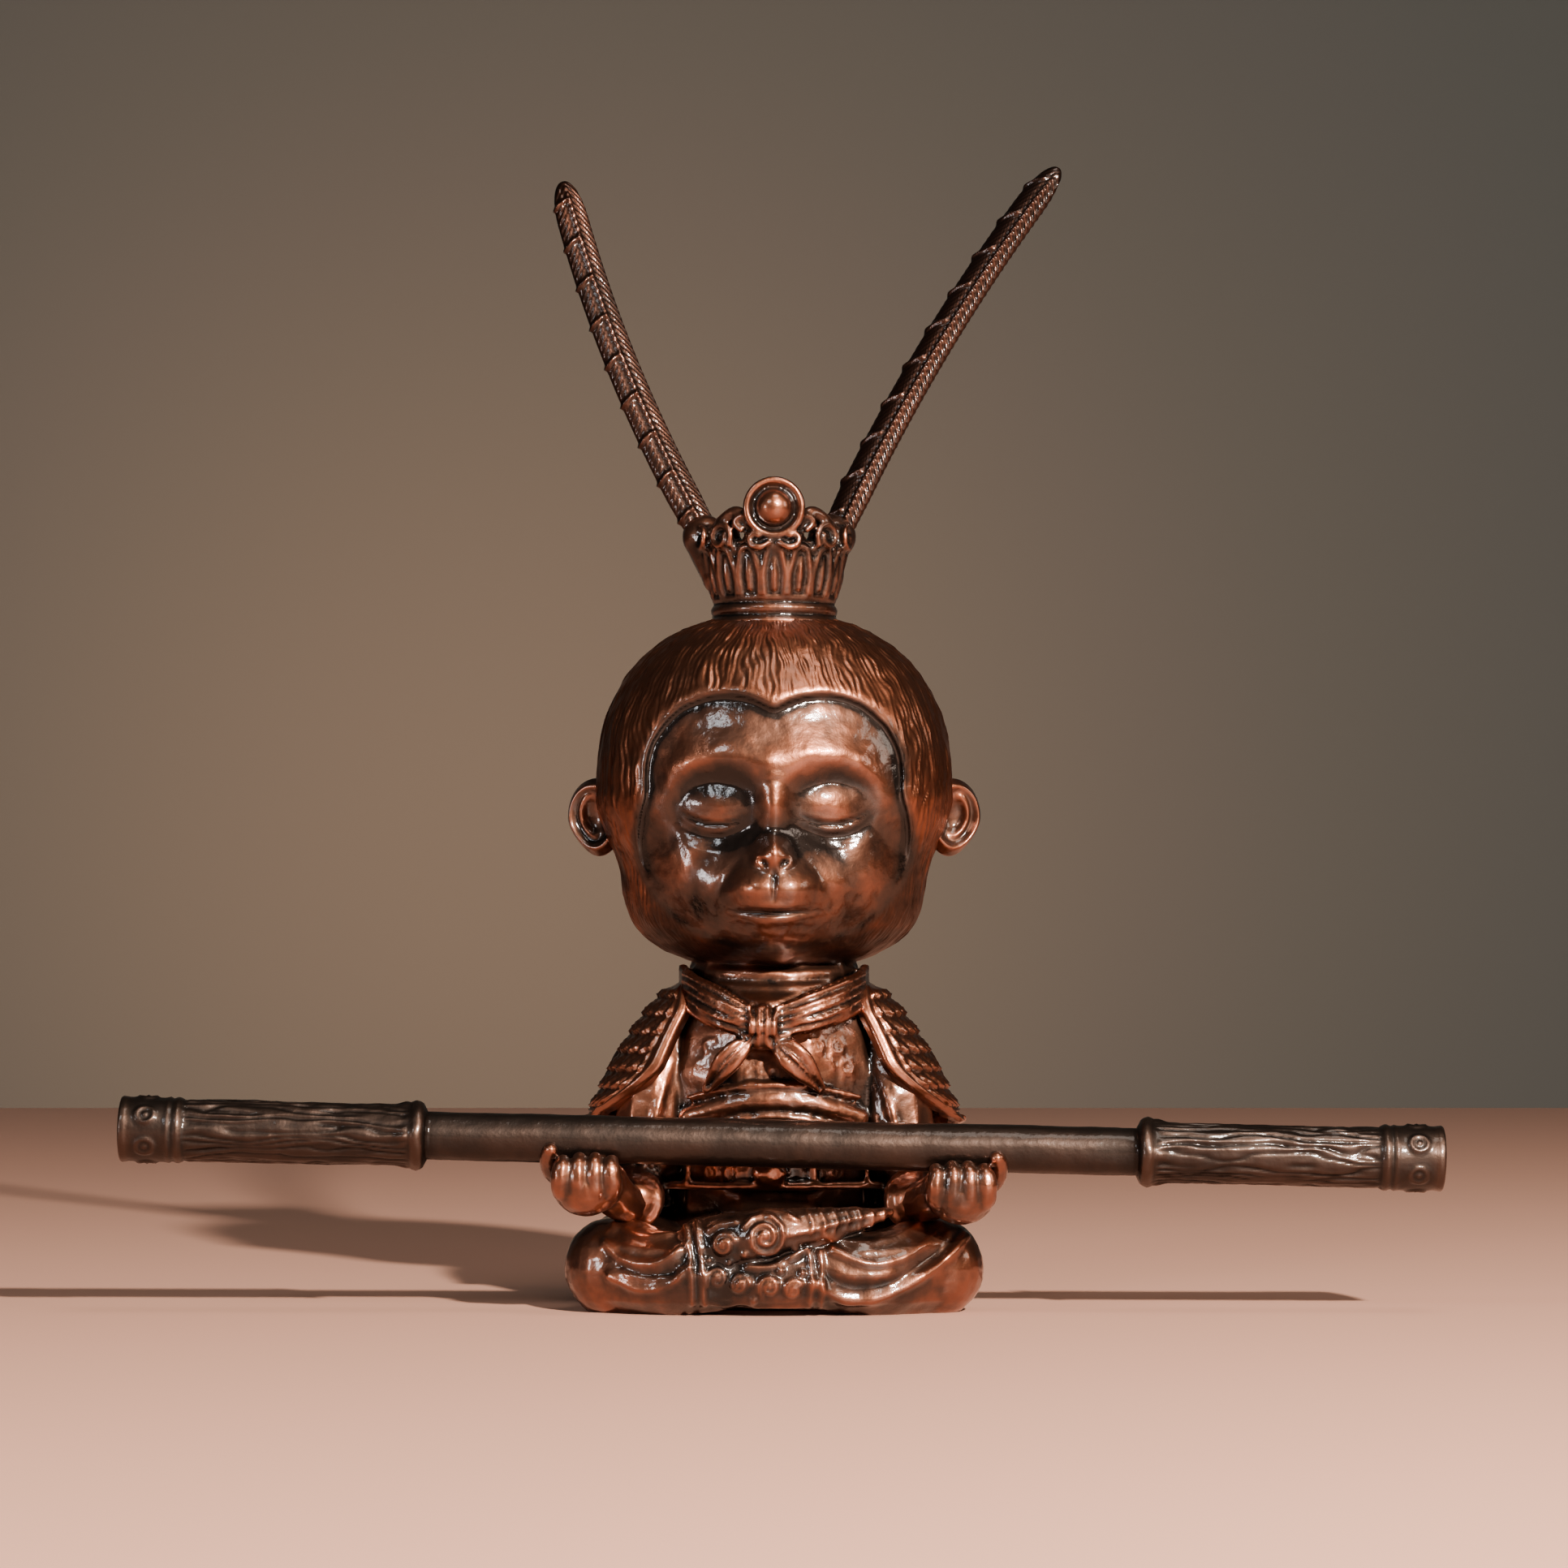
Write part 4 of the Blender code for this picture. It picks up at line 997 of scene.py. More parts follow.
# How far forward the boots may reach, and the share that is kept of what goes beyond
FRONT_END, FRONT_SHARE = -16.0, 0.3
# The low arch under the crossed feet
FEET_ARCH_HALF, FEET_ARCH_RISE = 9.0, 0.75

# Relief on the legs and boots: lines in x, z with their width and height
RELIEF = (
    ([(-15.0, 6.3), (-13.2, 5.0), (-10.4, 4.7), (-7.8, 6.2)], 0.42, 0.5),
    ([(-14.6, 3.4), (-11.8, 2.4), (-9.4, 2.8), (-7.6, 4.3)], 0.42, 0.5),
    ([(-14.4, 7.9), (-11.8, 7.0), (-9.6, 7.2), (-7.9, 7.9)], 0.36, 0.3),
    ([(-13.6, 4.4), (-11.4, 3.7), (-8.9, 4.0)], 0.3, -0.35),
    ([(-13.8, 5.5), (-10.9, 3.9)], 0.5, -0.2),
    ([(3.7, 3.0), (6.5, 1.5), (10.3, 2.0), (15.0, 4.7), (17.3, 7.0)], 0.45, 0.6),
    ([(4.4, 3.9), (7.0, 2.7), (10.4, 3.1), (14.2, 5.2), (16.4, 7.0)], 0.5, -0.35),
    ([(5.2, 5.9), (8.4, 4.7), (11.6, 5.2), (14.4, 7.0)], 0.4, 0.35),
    ([(4.6, 7.2), (7.6, 6.4), (10.8, 6.9), (13.0, 7.9)], 0.35, 0.3),
    ([(-7.9, 8.6), (-7.4, 5.0), (-7.2, 1.2)], 0.26, 0.4),
    ([(-6.9, 8.6), (-6.4, 5.0), (-6.2, 1.2)], 0.3, 0.5),
    ([(3.1, 5.9), (3.3, 3.6), (3.2, 1.0)], 0.26, 0.4),
    ([(4.1, 5.6), (4.3, 3.6), (4.2, 1.0)], 0.28, 0.42),
    ([(1.4, 7.3), (3.6, 7.7), (5.8, 8.3), (8.2, 8.8), (10.0, 9.1)], 0.24, 0.3),
    ([(0.4, 5.0), (2.4, 5.7), (4.6, 6.6), (7.2, 7.7), (9.6, 8.7)], 0.26, 0.34),
    ([(-5.9, 8.8), (-4.2, 9.4), (-2.2, 9.5), (0.6, 9.2), (2.0, 8.6)], 0.24, 0.3),
    ([(-5.8, 7.6), (-4.6, 8.3), (-3.4, 8.4)], 0.22, 0.28),
    ([(-2.4, 4.4), (-0.6, 4.4), (1.2, 4.9), (2.9, 5.9)], 0.26, 0.34),
    ([(-5.9, 1.3), (-4.4, 1.0), (-2.8, 1.3), (-1.4, 0.9), (0.6, 0.9), (2.8, 1.0)], 0.22, 0.28),
)
# Scrolls on the boots: middle, reach, turns, start and direction
SPIRALS = (
    ((-0.8, 7.1), 2.05, 2.4, 0.6, 1), ((-4.4, 6.4), 1.05, 1.6, 2.2, -1), ((-5.0, 3.4), 1.0, 1.6, 0.0, 1),
    ((-3.0, 2.9), 0.9, 1.5, 3.0, -1), ((-0.4, 2.7), 1.0, 1.6, 0.4, 1), ((1.7, 2.5), 0.85, 1.5, 2.6, -1),
)
TOE_RIBS = tuple((2.9 + 1.05 * step, 7.9 + 0.14 * step) for step in range(7))
BEADS = ((-4.0, 4.8), (-1.8, 1.5), (0.6, 4.1), (2.5, 3.9), (-5.7, 5.0), (-2.6, 5.6), (1.9, 6.0))


def leg(clay, side):
    limb(clay, both([(7.0, 3.0, 4.6), (12.2, -2.5, 4.2), (14.3, -7.4, 3.9)], side), [5.2, 4.9, 4.6])
    limb(clay, both([(14.3, -7.4, 3.9), (9.0, -10.8, 3.6), (2.0, -11.9, 3.8)], side), [4.5, 4.0, 3.1])
    limb(clay, both([(16.4, -5.2, 7.2), (12.8, -9.0, 7.3), (8.4, -11.2, 6.4)], side), [0.6, 1.1, 0.6])


def feet(clay):
    """One booted foot laid over the other at the front."""
    limb(clay, [(6.0, -12.0, 3.2), (0.0, -12.9, 3.0), (-4.8, -12.4, 3.1)], [2.8, 2.6, 2.4])
    upper = [(-6.2, -11.6, 5.8), (-3.5, -12.6, 6.5), (-0.8, -13.0, 7.1), (3.8, -12.9, 7.9),
             (7.0, -12.3, 8.5), (10.4, -11.5, 9.1)]
    limb(clay, upper, [2.9, 2.8, 2.5, 1.8, 1.15, 0.4])


def boot_relief(points, normals):
    """Folds, cuffs, scrolls and beads raised on the front of the legs and boots."""
    flat = points[:, [0, 2]]
    rise = np.zeros(len(points))
    for path, width, height in RELIEF:
        rise += height * stroke(flat, path, width)
    for centre, reach, turns, start, flip in SPIRALS:
        inside = np.hypot(*(flat - centre).T)
        rise += 0.4 * ridge(distance_to(flat, spiral(centre, reach, turns, start, flip)), 0.24)
        rise += 0.25 * mound(inside / (reach * 1.25))
    for x, z in TOE_RIBS:
        rise += 0.2 * stroke(flat, [(x, z + 1.5), (x + 0.55, z + 0.4), (x + 0.35, z - 0.6)], 0.2)
    for bead in BEADS:
        rise += 0.45 * mound(np.hypot(*(flat - bead).T) / 0.5)
    return rise * smoothstep(-0.15, -0.5, normals[:, 1]) * smoothstep(-6.5, -8.5, points[:, 1])


def legs_mesh():
    """The legs and boots, with how much darker each point is drawn: painted shade over the legs, lighter
    towards the outer knees.
    """
    rng = np.random.default_rng(SEED + 3)
    clay = clay_box()
    for side in SIDES:
        leg(clay, side)
    feet(clay)
    mesh = fused(clay, LEGS_COARSENESS * own_size("cast_voxel"), soften=3)
    points, normals = points_of(mesh), normals_of(mesh)
    rise = 0.04 * wave_noise(points, 2.6, rng) + BOOT_RELIEF * boot_relief(points, normals)
    points += normals * rise[:, None]
    points[:, 1] = np.maximum(points[:, 1], FRONT_END + FRONT_SHARE * (points[:, 1] - FRONT_END))
    lift = FEET_ARCH_RISE * mound(points[:, 0] / FEET_ARCH_HALF) * smoothstep(-9.0, -12.0, points[:, 1])
    points[:, 2] = np.maximum(points[:, 2], lift)
    place_points(mesh, points)
    x = points[:, 0]
    # Painted shade: the legs drawn darker all over and a little more on the side towards the key lamp;
    # lighter towards the outer sides of the knees
    return mesh, 0.16 + 0.05 * smoothstep(3.0, 12.0, x) - 0.27 * smoothstep(8.0, 15.5, np.abs(x))


# Plumes


def plume_stance(name):
    """How the plume leans: a rotation from upright."""
    lean, back = PLUME_LEANS[name]
    return Euler((-math.atan(back), math.atan(lean), 0.0)).to_matrix()


def plume_axis(name):
    return plume_stance(name) @ Vector((0.0, 0.0, 1.0))


PLUME_SIDES, PLUME_RINGS = 56, 330
PLUME_WIDTH, PLUME_THICKNESS = 3.4, 1.9
BARB_PITCH, BAND_PITCH = 0.72, 4.1


def plume_mesh(name):
    """A long feather: a raised quill, slanted barbs and crescent bands, that stands in the crown."""
    length = PLUME_LENGTHS[name]
    bm = bmesh.new()
    bmesh.ops.create_cone(bm, cap_ends=True, segments=PLUME_SIDES, radius1=1.0, radius2=1.0, depth=1.0)
    upright = [e for e in bm.edges if abs(e.verts[0].co.z - e.verts[1].co.z) > 0.5]
    bmesh.ops.subdivide_edges(bm, edges=upright, cuts=PLUME_RINGS)
    bmesh.ops.recalc_face_normals(bm, faces=bm.faces)
    mesh = mesh_of(bm)
    cone = points_of(mesh)
    share = np.clip((cone[:, 2] + 0.5), 0.0, 1.0)
    share = 1.0 - (1.0 - share) ** 1.15
    cosine, sine = cone[:, 0], cone[:, 1]
    rounding = np.clip((share - 0.88) / 0.12, 0.0, 1.0)
    tip = 0.06 + 0.94 * np.sqrt(np.clip(1.0 - rounding**2.2, 0.0, 1.0))
    root = 0.9 + 0.1 * np.clip(share / 0.1, 0.0, 1.0)
    half = PLUME_WIDTH / 2 * tip * root * (1.0 - 0.08 * share)
    thick = PLUME_THICKNESS / 2 * tip
    along = share * length
    x = half * cosine
    quill_at = -0.1 if name == "left" else 0.45
    quill = x / (PLUME_WIDTH / 2) - quill_at
    lens = np.sign(sine) * np.abs(sine) ** 1.2
    barb = np.sin((along + 1.5 * np.abs(quill) * PLUME_WIDTH / 2) * math.tau / BARB_PITCH)
    band = (along + 0.9 * quill**2) % BAND_PITCH - BAND_PITCH / 2
    face = smoothstep(0.15, 0.45, np.abs(sine)) * (1 - rounding**3)
    banded = smoothstep(0.15, -0.15, quill) if name == "left" else smoothstep(-0.2, -0.5, quill)
    relief = 0.12 * barb * (1 - 0.55 * banded) + 0.26 * ridge(band, 0.26) * banded + 0.18 * ridge(quill, 0.12)
    relief -= 0.1 * ridge(np.abs(quill) - 0.24, 0.07)
    y = thick * lens + np.sign(sine) * relief * face
    notch = 0.12 * ridge(band, 0.22) * smoothstep(0.5, 0.95, -cosine)
    bow = -4 * PLUME_BOW * share * (1 - share)
    local = np.stack([bow + x * (1 + notch), y, 0.3 + along], axis=1)
    stance = plume_stance(name) @ Matrix.Rotation(math.radians(PLUME_TURNS[name]), 3, "Z")
    place_points(mesh, local @ np.array(stance).T + np.array(PLUME_ROOTS[name]))
    return mesh


# Staff

STAFF_LENGTH = 117.9
GRIP_RIDGES = 21
GRIP_RADIUS, GRIP_LENGTH = 2.7, 20.5
COLLAR_RADIUS, COLLAR_WIDTH = 3.0, 1.1
NECK_WIDTH = 0.9
CAP_RADIUS, CAP_LENGTH = 2.95, 4.6
CAP_RINGS = 6
STAFF_SIDES = 120


def staff_profile():
    """Half of the staff from its middle out, as (distance, radius) pairs."""
    half = STAFF_LENGTH / 2
    cap = half - CAP_LENGTH
    neck = cap - NECK_WIDTH
    out = neck - GRIP_LENGTH
    inner = out - COLLAR_WIDTH
    shoulder = (GRIP_RADIUS + CAP_RADIUS) / 2
    profile = [(x, SHAFT_RADIUS) for x in np.arange(0.0, inner - 0.4, 0.8)]
    profile += [(inner - 0.25, SHAFT_RADIUS), (inner - 0.1, SHAFT_RADIUS + 0.3)]
    profile += [(inner + 0.12, COLLAR_RADIUS - 0.12)]
    profile += [(inner + 0.35, COLLAR_RADIUS), (out - 0.35, COLLAR_RADIUS), (out - 0.1, COLLAR_RADIUS - 0.15)]
    profile += [(out + 0.15, GRIP_RADIUS)]
    profile += [(x, GRIP_RADIUS) for x in np.arange(out + 0.35, neck - 0.3, 0.24)]
    profile += [(neck - 0.22, GRIP_RADIUS), (neck - 0.05, shoulder), (neck + 0.25, CAP_RADIUS)]
    profile += [(neck + 0.45, CAP_RADIUS), (cap - 0.2, shoulder), (cap - 0.02, shoulder)]
    profile += [(cap + 0.2, CAP_RADIUS)]
    profile += [(x, CAP_RADIUS) for x in np.arange(cap + 0.4, half - 0.5, 0.2)]
    profile += [(half - 0.22, CAP_RADIUS), (half - 0.06, CAP_RADIUS - 0.1), (half, CAP_RADIUS - 0.3)]
    profile += [(half, CAP_RADIUS - 0.7), (half - 0.25, CAP_RADIUS - 0.95), (half - 0.25, 0.0)]
    return profile, (out + 0.2, neck - 0.2), (cap + 0.3, half - 0.5)


def staff_mesh():
    """The staff: grips with wandering flutes, collars with four lobes and caps with a row of rings."""
    rng = np.random.default_rng(SEED + 4)
    profile, grip, cap = staff_profile()
    upper = [(r, x) for x, r in reversed(profile[1:])]
    outline = upper + [(profile[0][1], 0.0)] + [(r, -x) for r, x in reversed(upper)]
    mesh = mesh_of(turned(outline, STAFF_SIDES))
    points = points_of(mesh)
    angle, along = np.arctan2(points[:, 1], points[:, 0]), points[:, 2]
    reach = np.abs(along)
    around = np.hypot(points[:, 0], points[:, 1]) + 1e-9
    skin = np.stack([3.0 * np.cos(angle), 3.0 * np.sin(angle), along * 0.22], axis=1)
    drift = 0.16 * wave_noise(skin, 2.4, rng) + 0.07 * wave_noise(skin, 1.0, rng)
    bark = np.abs(np.sin((angle + drift) * GRIP_RIDGES / 2)) ** 0.7
    bark = (bark - 0.75) * np.clip(0.75 + 0.35 * wave_noise(skin, 1.8, rng), 0.2, 1.4)
    in_grip = smoothstep(grip[0], grip[0] + 0.5, reach) * (1 - smoothstep(grip[1] - 0.5, grip[1], reach))
    rise = (0.3 * bark + 0.05 * wave_noise(skin, 3.0, rng)) * in_grip
    on_cap = smoothstep(cap[0], cap[0] + 0.2, reach) * (1 - smoothstep(cap[1] - 0.2, cap[1], reach))
    middle = (cap[0] + cap[1]) / 2
    turn = angle * CAP_RINGS / math.tau
    aside = (turn - np.round(turn)) * math.tau / CAP_RINGS * CAP_RADIUS
    ring = np.hypot(aside, reach - middle)
    rise += on_cap * (0.2 * ridge(ring - 0.75, 0.22) + 0.22 * ridge(ring, 0.28) - 0.08)
    lobes = np.abs(np.cos(angle * 2)) ** 6
    collar = grip[0] + 0.1
    rise += 0.3 * lobes * mound((reach - collar) / 1.3)
    rise += 0.02 * wave_noise(points, 2.0, rng) + 0.02 * wave_noise(points, 7.0, rng)
    rise *= smoothstep(0.5, 1.5, around)
    points[:, :2] *= (1.0 + rise / around)[:, None]
    level = Matrix.Rotation(math.radians(90) - math.atan(STAFF_SLOPE), 3, "Y")
    place_points(mesh, points @ np.array(level).T + np.array(STAFF_CENTRE))
    return mesh


# Materials

# Widths in millimetres of the patina's clouds and specks and of the casting's grain. Real casting grain is
# finer than 0.3 mm, and is drawn as coarse as it needs to show.
CLOUD, SPECK, GRAIN = 7.0, 1.1, 0.3
# The share of its wax that satin hair keeps
SATIN_WAX = 0.25


def add(tree, kind, links=None, **settings):
    """A node with its settings, and its inputs by name or number set to a value or linked to a socket."""
    node = tree.nodes.new(kind)
    for key, value in settings.items():
        setattr(node, key, value)
    for key, value in (links or {}).items():
        if isinstance(value, bpy.types.NodeSocket):
            tree.links.new(value, node.inputs[key])
        else:
            node.inputs[key].default_value = value
    return node


def per_mm(size):
    """A noise scale whose pattern is about so many millimetres wide."""
    return 1000.0 / size


def blank(name):
    material = bpy.data.materials.new(name)
    material.use_nodes = True
    tree = material.node_tree
    tree.nodes.clear()
    shader = add(tree, "ShaderNodeBsdfPrincipled")
    add(tree, "ShaderNodeOutputMaterial", {"Surface": shader.outputs[0]})
    return material, tree, shader


def span(tree, value, low, high, to_low, to_high):
    """A value moved from one range to another, clamped."""
    links = {"Value": value, "From Min": low, "From Max": high, "To Min": to_low, "To Max": to_high}
    return add(tree, "ShaderNodeMapRange", links).outputs[0]


def blend(tree, share, first, second):
    links = {"Factor": share, 6: first, 7: second}
    return add(tree, "ShaderNodeMix", links, data_type="RGBA").outputs[2]


def patinated(name, high, open_face, recess, rub, rough, wax, mottle=0.2, satin=False):
    """Cast bronze under a brown patina: rubbed bright on high places, near black in the recesses."""
    if name in bpy.data.materials:
        return bpy.data.materials[name]
    material, tree, shader = blank(name)
    place = add(tree, "ShaderNodeTexCoord").outputs["Object"]
    # The attribute read here holds each point's recess depth for the patina, and on the head and legs also
    # painted shade and painted light
    hollow_and_painted_light = add(tree, "ShaderNodeAttribute", attribute_name="hollow_and_painted_light").outputs["Fac"]
    cloud, speck, grain = (
        add(tree, "ShaderNodeTexNoise", {"Vector": place, "Scale": per_mm(wide), "Detail": detail}).outputs[0]
        for wide, detail in ((CLOUD, 4.0), (SPECK, 5.0), (GRAIN, 3.0))
    )
    clouds = span(tree, cloud, 0.35, 0.68, -mottle, mottle)
    worn = add(tree, "ShaderNodeMath", {0: clouds, 1: hollow_and_painted_light}, operation="SUBTRACT").outputs[0]
    specks = span(tree, speck, 0.3, 0.7, -0.4 * mottle, 0.4 * mottle)
    worn = add(tree, "ShaderNodeMath", {0: specks, 1: worn}).outputs[0]
    rubbed = span(tree, worn, -0.55, rub, 0.0, 1.0)
    colour = blend(tree, rubbed, open_face, high)
    sunk = span(tree, worn, -0.84, -0.56, 1.0, 0.0)
    colour = blend(tree, sunk, colour, recess)
    tree.links.new(colour, shader.inputs["Base Color"])
    dull = span(tree, worn, -0.8, -0.3, rough + 0.2, rough)
    tree.links.new(dull, shader.inputs["Roughness"])
    shader.inputs["Metallic"].default_value = 1.0
    shader.inputs["Coat Weight"].default_value = wax
    if satin:
        hair = add(tree, "ShaderNodeAttribute", attribute_name="satin").outputs["Fac"]
        tree.links.new(span(tree, hair, 0.0, 1.0, wax, SATIN_WAX * wax), shader.inputs["Coat Weight"])
    shader.inputs["Coat Roughness"].default_value = 0.12
    pit = add(tree, "ShaderNodeBump", {"Height": grain, "Strength": 0.22, "Distance": 0.00004}).outputs[0]
    links = {"Height": speck, "Strength": 0.45, "Distance": 0.00015, "Normal": pit}
    cast = add(tree, "ShaderNodeBump", links).outputs[0]
    tree.links.new(cast, shader.inputs["Normal"])
    tree.links.new(cast, shader.inputs["Coat Normal"])
    return material


def plain(name, colour, roughness):
    """Matt paint for the stage, which shows light and shadow with no gloss."""
    material, _, shader = blank(name)
    shader.inputs["Base Color"].default_value = colour
    shader.inputs["Roughness"].default_value = roughness
    return material


def bronze(name="bronze casting, rubbed patina", satin=False):
    """Brown-patinated casting bronze, waxed and hand rubbed so that high places shine copper."""
    finish = bpy.context.scene.figurine_finish
    return patinated(name, finish.copper, finish.brown, finish.recess, -0.2, 0.34, 0.85, satin=satin)


def head_bronze():
    """The same, with less wax on the combed hair, so that its strands shine softly and don't glitter."""
    return bronze("bronze casting, rubbed patina and satin hair", satin=True)


def dark_bronze():
    """The same metal under a thicker, duller patina, as on the staff."""
    finish = bpy.context.scene.figurine_finish
    colours = (finish.staff_high, finish.staff_open, finish.recess)
    return patinated("bronze casting, dark patina", *colours, -0.15, 0.42, 0.3, 0.1)


def brown_bronze():
    """The figure's bronze where it was left browner and less rubbed, as on the plumes."""
    finish = bpy.context.scene.figurine_finish
    colours = (finish.plume_high, finish.plume_open, finish.recess)
    return patinated("bronze casting, brown patina", *colours, -0.2, 0.38, 0.35, 0.15)


# Operators


class BuildHead(bpy.types.Operator):
    """The head with its face, combed hair and ears"""

    bl_idname = "bronze_monkey.head"
    bl_label = "Head"

    def execute(self, context):
        mesh, dark, satin = head_mesh()
        mark(mesh, "satin", satin)
        finished("head", mesh, ["monkey_figure"], material=head_bronze(), fine_depth=0.26, dark=dark)
        for side, name in zip(SIDES, ("ear_right", "ear_left")):
            finished(name, ear_mesh(side))
        return {"FINISHED"}


class BuildCrown(bpy.types.Operator):
    """The petal crown with its scrolls and round boss"""

    bl_idname = "bronze_monkey.crown"
    bl_label = "Crown"

    def execute(self, context):
        finished("crown", crown_mesh(), fine_depth=0.08, dark=0.08)
        return {"FINISHED"}


class BuildRobe(bpy.types.Operator):
    """The robe with its scarf, belt and sleeves"""

    bl_idname = "bronze_monkey.robe"
    bl_label = "Robe"

    def execute(self, context):
        finished("robe", robe_mesh(), fine_depth=0.13)
        return {"FINISHED"}


class BuildCape(bpy.types.Operator):
    """The shoulder cape with its scales and rolled hem"""

    bl_idname = "bronze_monkey.cape"
    bl_label = "Cape"

    def execute(self, context):
        finished("shoulder_cape", cape_mesh(), fine_depth=0.22, dark=-0.26)
        return {"FINISHED"}


class BuildHands(bpy.types.Operator):
    """Both open hands under the staff"""

    bl_idname = "bronze_monkey.hands"
    bl_label = "Hands"

    def execute(self, context):
        finished("hands", hands_mesh())
        return {"FINISHED"}


class BuildLegs(bpy.types.Operator):
    """The folded legs and booted feet"""

    bl_idname = "bronze_monkey.legs"
    bl_label = "Legs and boots"

    def execute(self, context):
        mesh, dark = legs_mesh()
        finished("legs", mesh, fine_depth=0.15, dark=dark)
        return {"FINISHED"}


class BuildPlumes(bpy.types.Operator):
    """The two feather plumes"""

    bl_idname = "bronze_monkey.plumes"
    bl_label = "Plumes"

    def execute(self, context):
        for name in PLUME_LEANS:
            finished("feather_" + name, plume_mesh(name), ["plume_" + name], material=brown_bronze())
        return {"FINISHED"}


class BuildStaff(bpy.types.Operator):
    """The staff with its fluted grips, collars and caps"""

    bl_idname = "bronze_monkey.staff"
    bl_label = "Staff"

    def execute(self, context):
        finished("long_staff", staff_mesh(), ["staff"], dark_bronze())
        return {"FINISHED"}


# Stage, in metres

CAMERA_DISTANCE = 0.45
CAMERA_HEIGHT = 0.034
CAMERA_X = 0.0009
CAMERA_LENS, SENSOR = 112.6, 36.0
CAMERA_TILT = 1.74
FLOOR_HALF, FLOOR_FRONT, FLOOR_BACK = 2, -1.5, 0.505
BACKDROP_HALF, BACKDROP_AT, BACKDROP_LOW, BACKDROP_HIGH = 3, 1.1, -1, 2
ROOM_COLOUR, ROOM_STRENGTH = "#8CA0A4", 0.09

# Lamps that shine on the figure, and the wash on the backdrop: name, place, size, watts and colour
LAMPS_AIM = (0.0, 0.0, 0.045)
LAMPS = (
    ("key", (0.17, -0.40, 0.255), 0.022, 8.9, "#FFF1E6"),
    ("fill", (-0.26, -0.40, 0.33), 0.09, 0.5, "#E8EEF4"),
    ("low", (-0.42, -0.30, 0.08), 0.07, 0.85, "#E6DEDF"),
    ("side", (0.42, -0.14, 0.20), 0.14, 0.45, "#FFE6D4"),
    ("top", (0.07, -0.14, 0.42), 0.13, 0.45, "#FFF0E4"),
)
WASH = ("wash", (-0.09, 0.80, 0.06), 0.12, 1.25, "#FFB082")


def panel(name, half, near, far, material):
    """A flat panel of the stage: half its width, and its near and far edges, each as y, z."""
    corners = [(side * half, *edge) for edge in (near, far) for side in SIDES]
    bm = bmesh.new()
    bmesh.ops.create_grid(bm, x_segments=1, y_segments=1, size=1.0)
    for vertex, corner in zip(bm.verts, corners):
        vertex.co = corner
    bmesh.ops.recalc_face_normals(bm, faces=bm.faces)
    obj = form(bpy.context.scene.collection, bm, name)
    obj.data.materials.append(material)


def lamp(name, place, size, watts, colour):
    """A square lamp that points at the figure's middle."""
    data = bpy.data.lights.new(name, "AREA")
    data.size = size
    data.energy = watts
    data.color = linear(colour)[:3]
    obj = bpy.data.objects.new(name, data)
    obj.location = place
    aim = Vector(LAMPS_AIM) - Vector(place)
    obj.rotation_euler = aim.to_track_quat("-Z", "Y").to_euler()
    bpy.context.scene.collection.objects.link(obj)
    return obj


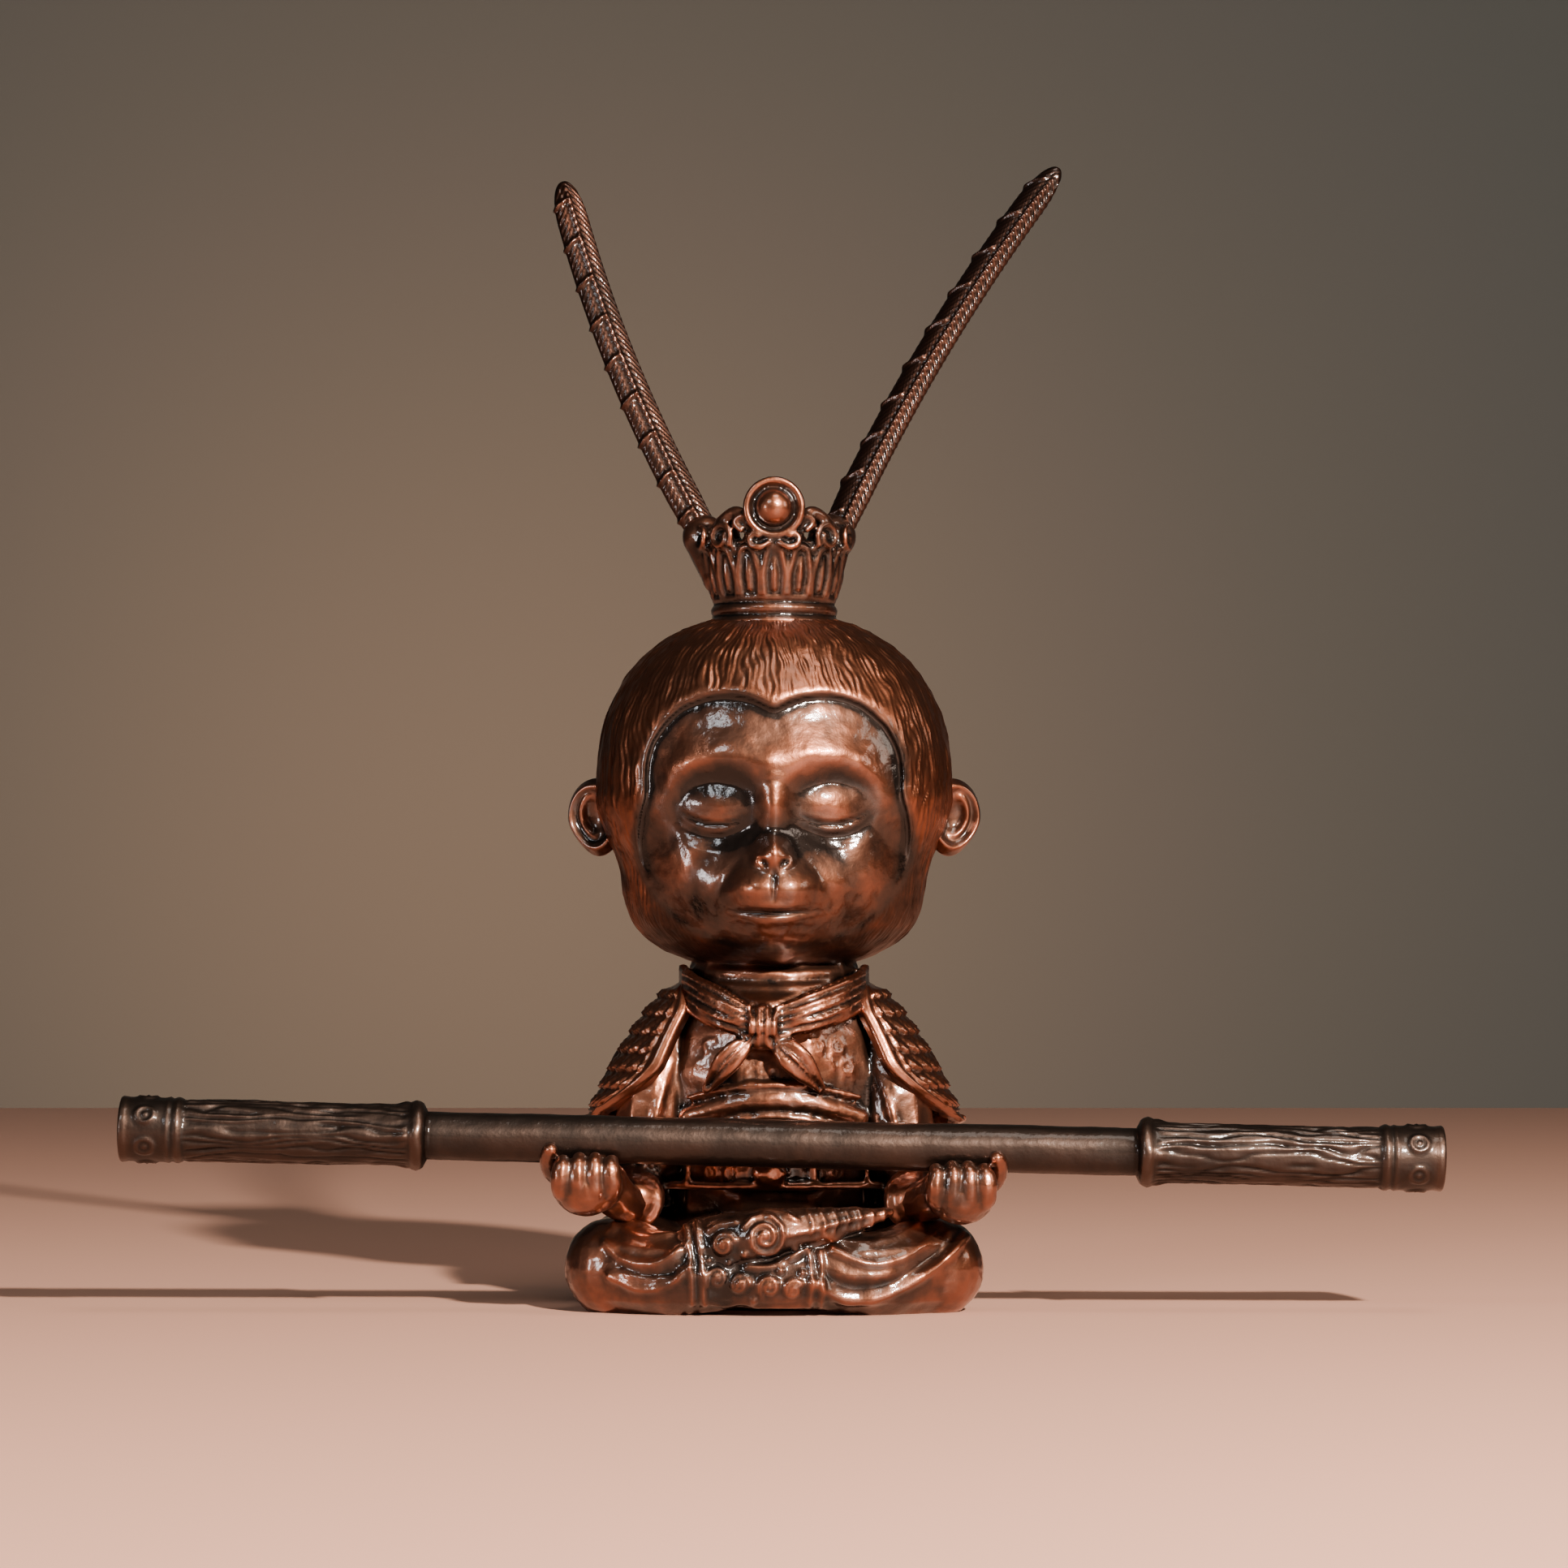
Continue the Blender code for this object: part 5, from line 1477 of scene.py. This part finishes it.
class BuildStage(bpy.types.Operator):
    """The pale floor, the backdrop, the lights and the camera"""

    bl_idname = "bronze_monkey.stage"
    bl_label = "Stage"

    def execute(self, context):
        finish = context.scene.figurine_finish
        floor = plain("matt floor", finish.floor, 0.6)
        panel("floor", FLOOR_HALF, (FLOOR_FRONT, 0), (FLOOR_BACK, 0), floor)
        wall = plain("matt backdrop", finish.backdrop, 0.9)
        panel("backdrop", BACKDROP_HALF, (BACKDROP_AT, BACKDROP_LOW), (BACKDROP_AT, BACKDROP_HIGH), wall)
        for settings in LAMPS:
            lamp(*settings)
        lamp(*WASH).rotation_euler = (math.radians(90), 0, 0)
        world = bpy.data.worlds.new("room")
        context.scene.world = world
        world.use_nodes = True
        sky = world.node_tree.nodes["Background"]
        sky.inputs[0].default_value = linear(ROOM_COLOUR)
        sky.inputs[1].default_value = ROOM_STRENGTH
        data = bpy.data.cameras.new("camera")
        data.lens = CAMERA_LENS
        data.sensor_width = SENSOR
        data.clip_start = 0.01
        camera = bpy.data.objects.new("camera", data)
        camera.location = (CAMERA_X, -CAMERA_DISTANCE, CAMERA_HEIGHT)
        camera.rotation_euler = (math.radians(90 + CAMERA_TILT), 0, 0)
        context.scene.collection.objects.link(camera)
        context.scene.camera = camera
        return {"FINISHED"}


OPERATORS = (
    BuildHead, BuildCrown, BuildRobe, BuildCape, BuildHands, BuildLegs, BuildPlumes, BuildStaff, BuildStage,
)


class FigurinePanel(bpy.types.Panel):
    """Lists the figurine's pieces in the sidebar"""

    bl_idname = "VIEW3D_PT_bronze_monkey"
    bl_label = "Bronze monkey"
    bl_space_type = "VIEW_3D"
    bl_region_type = "UI"
    bl_category = "Bronze monkey"

    def draw(self, context):
        for group in (context.scene.figurine_sizes, context.scene.figurine_finish):
            for key in group.__annotations__:
                self.layout.prop(group, key)
        for operator in OPERATORS:
            self.layout.operator(operator.bl_idname)


CLASSES = (FigurineSizes, FigurineFinish, *OPERATORS, FigurinePanel)


def register():
    for kind in CLASSES:
        bpy.utils.register_class(kind)
    bpy.types.Scene.figurine_sizes = bpy.props.PointerProperty(type=FigurineSizes)
    bpy.types.Scene.figurine_finish = bpy.props.PointerProperty(type=FigurineFinish)


def unregister():
    del bpy.types.Scene.figurine_sizes
    del bpy.types.Scene.figurine_finish
    for kind in reversed(CLASSES):
        bpy.utils.unregister_class(kind)


def main():
    register()
    bpy.ops.bronze_monkey.head()
    bpy.ops.bronze_monkey.crown()
    bpy.ops.bronze_monkey.robe()
    bpy.ops.bronze_monkey.cape()
    bpy.ops.bronze_monkey.hands()
    bpy.ops.bronze_monkey.legs()
    bpy.ops.bronze_monkey.plumes()
    bpy.ops.bronze_monkey.staff()
    bpy.ops.bronze_monkey.stage()


if __name__ == "__main__":
    main()
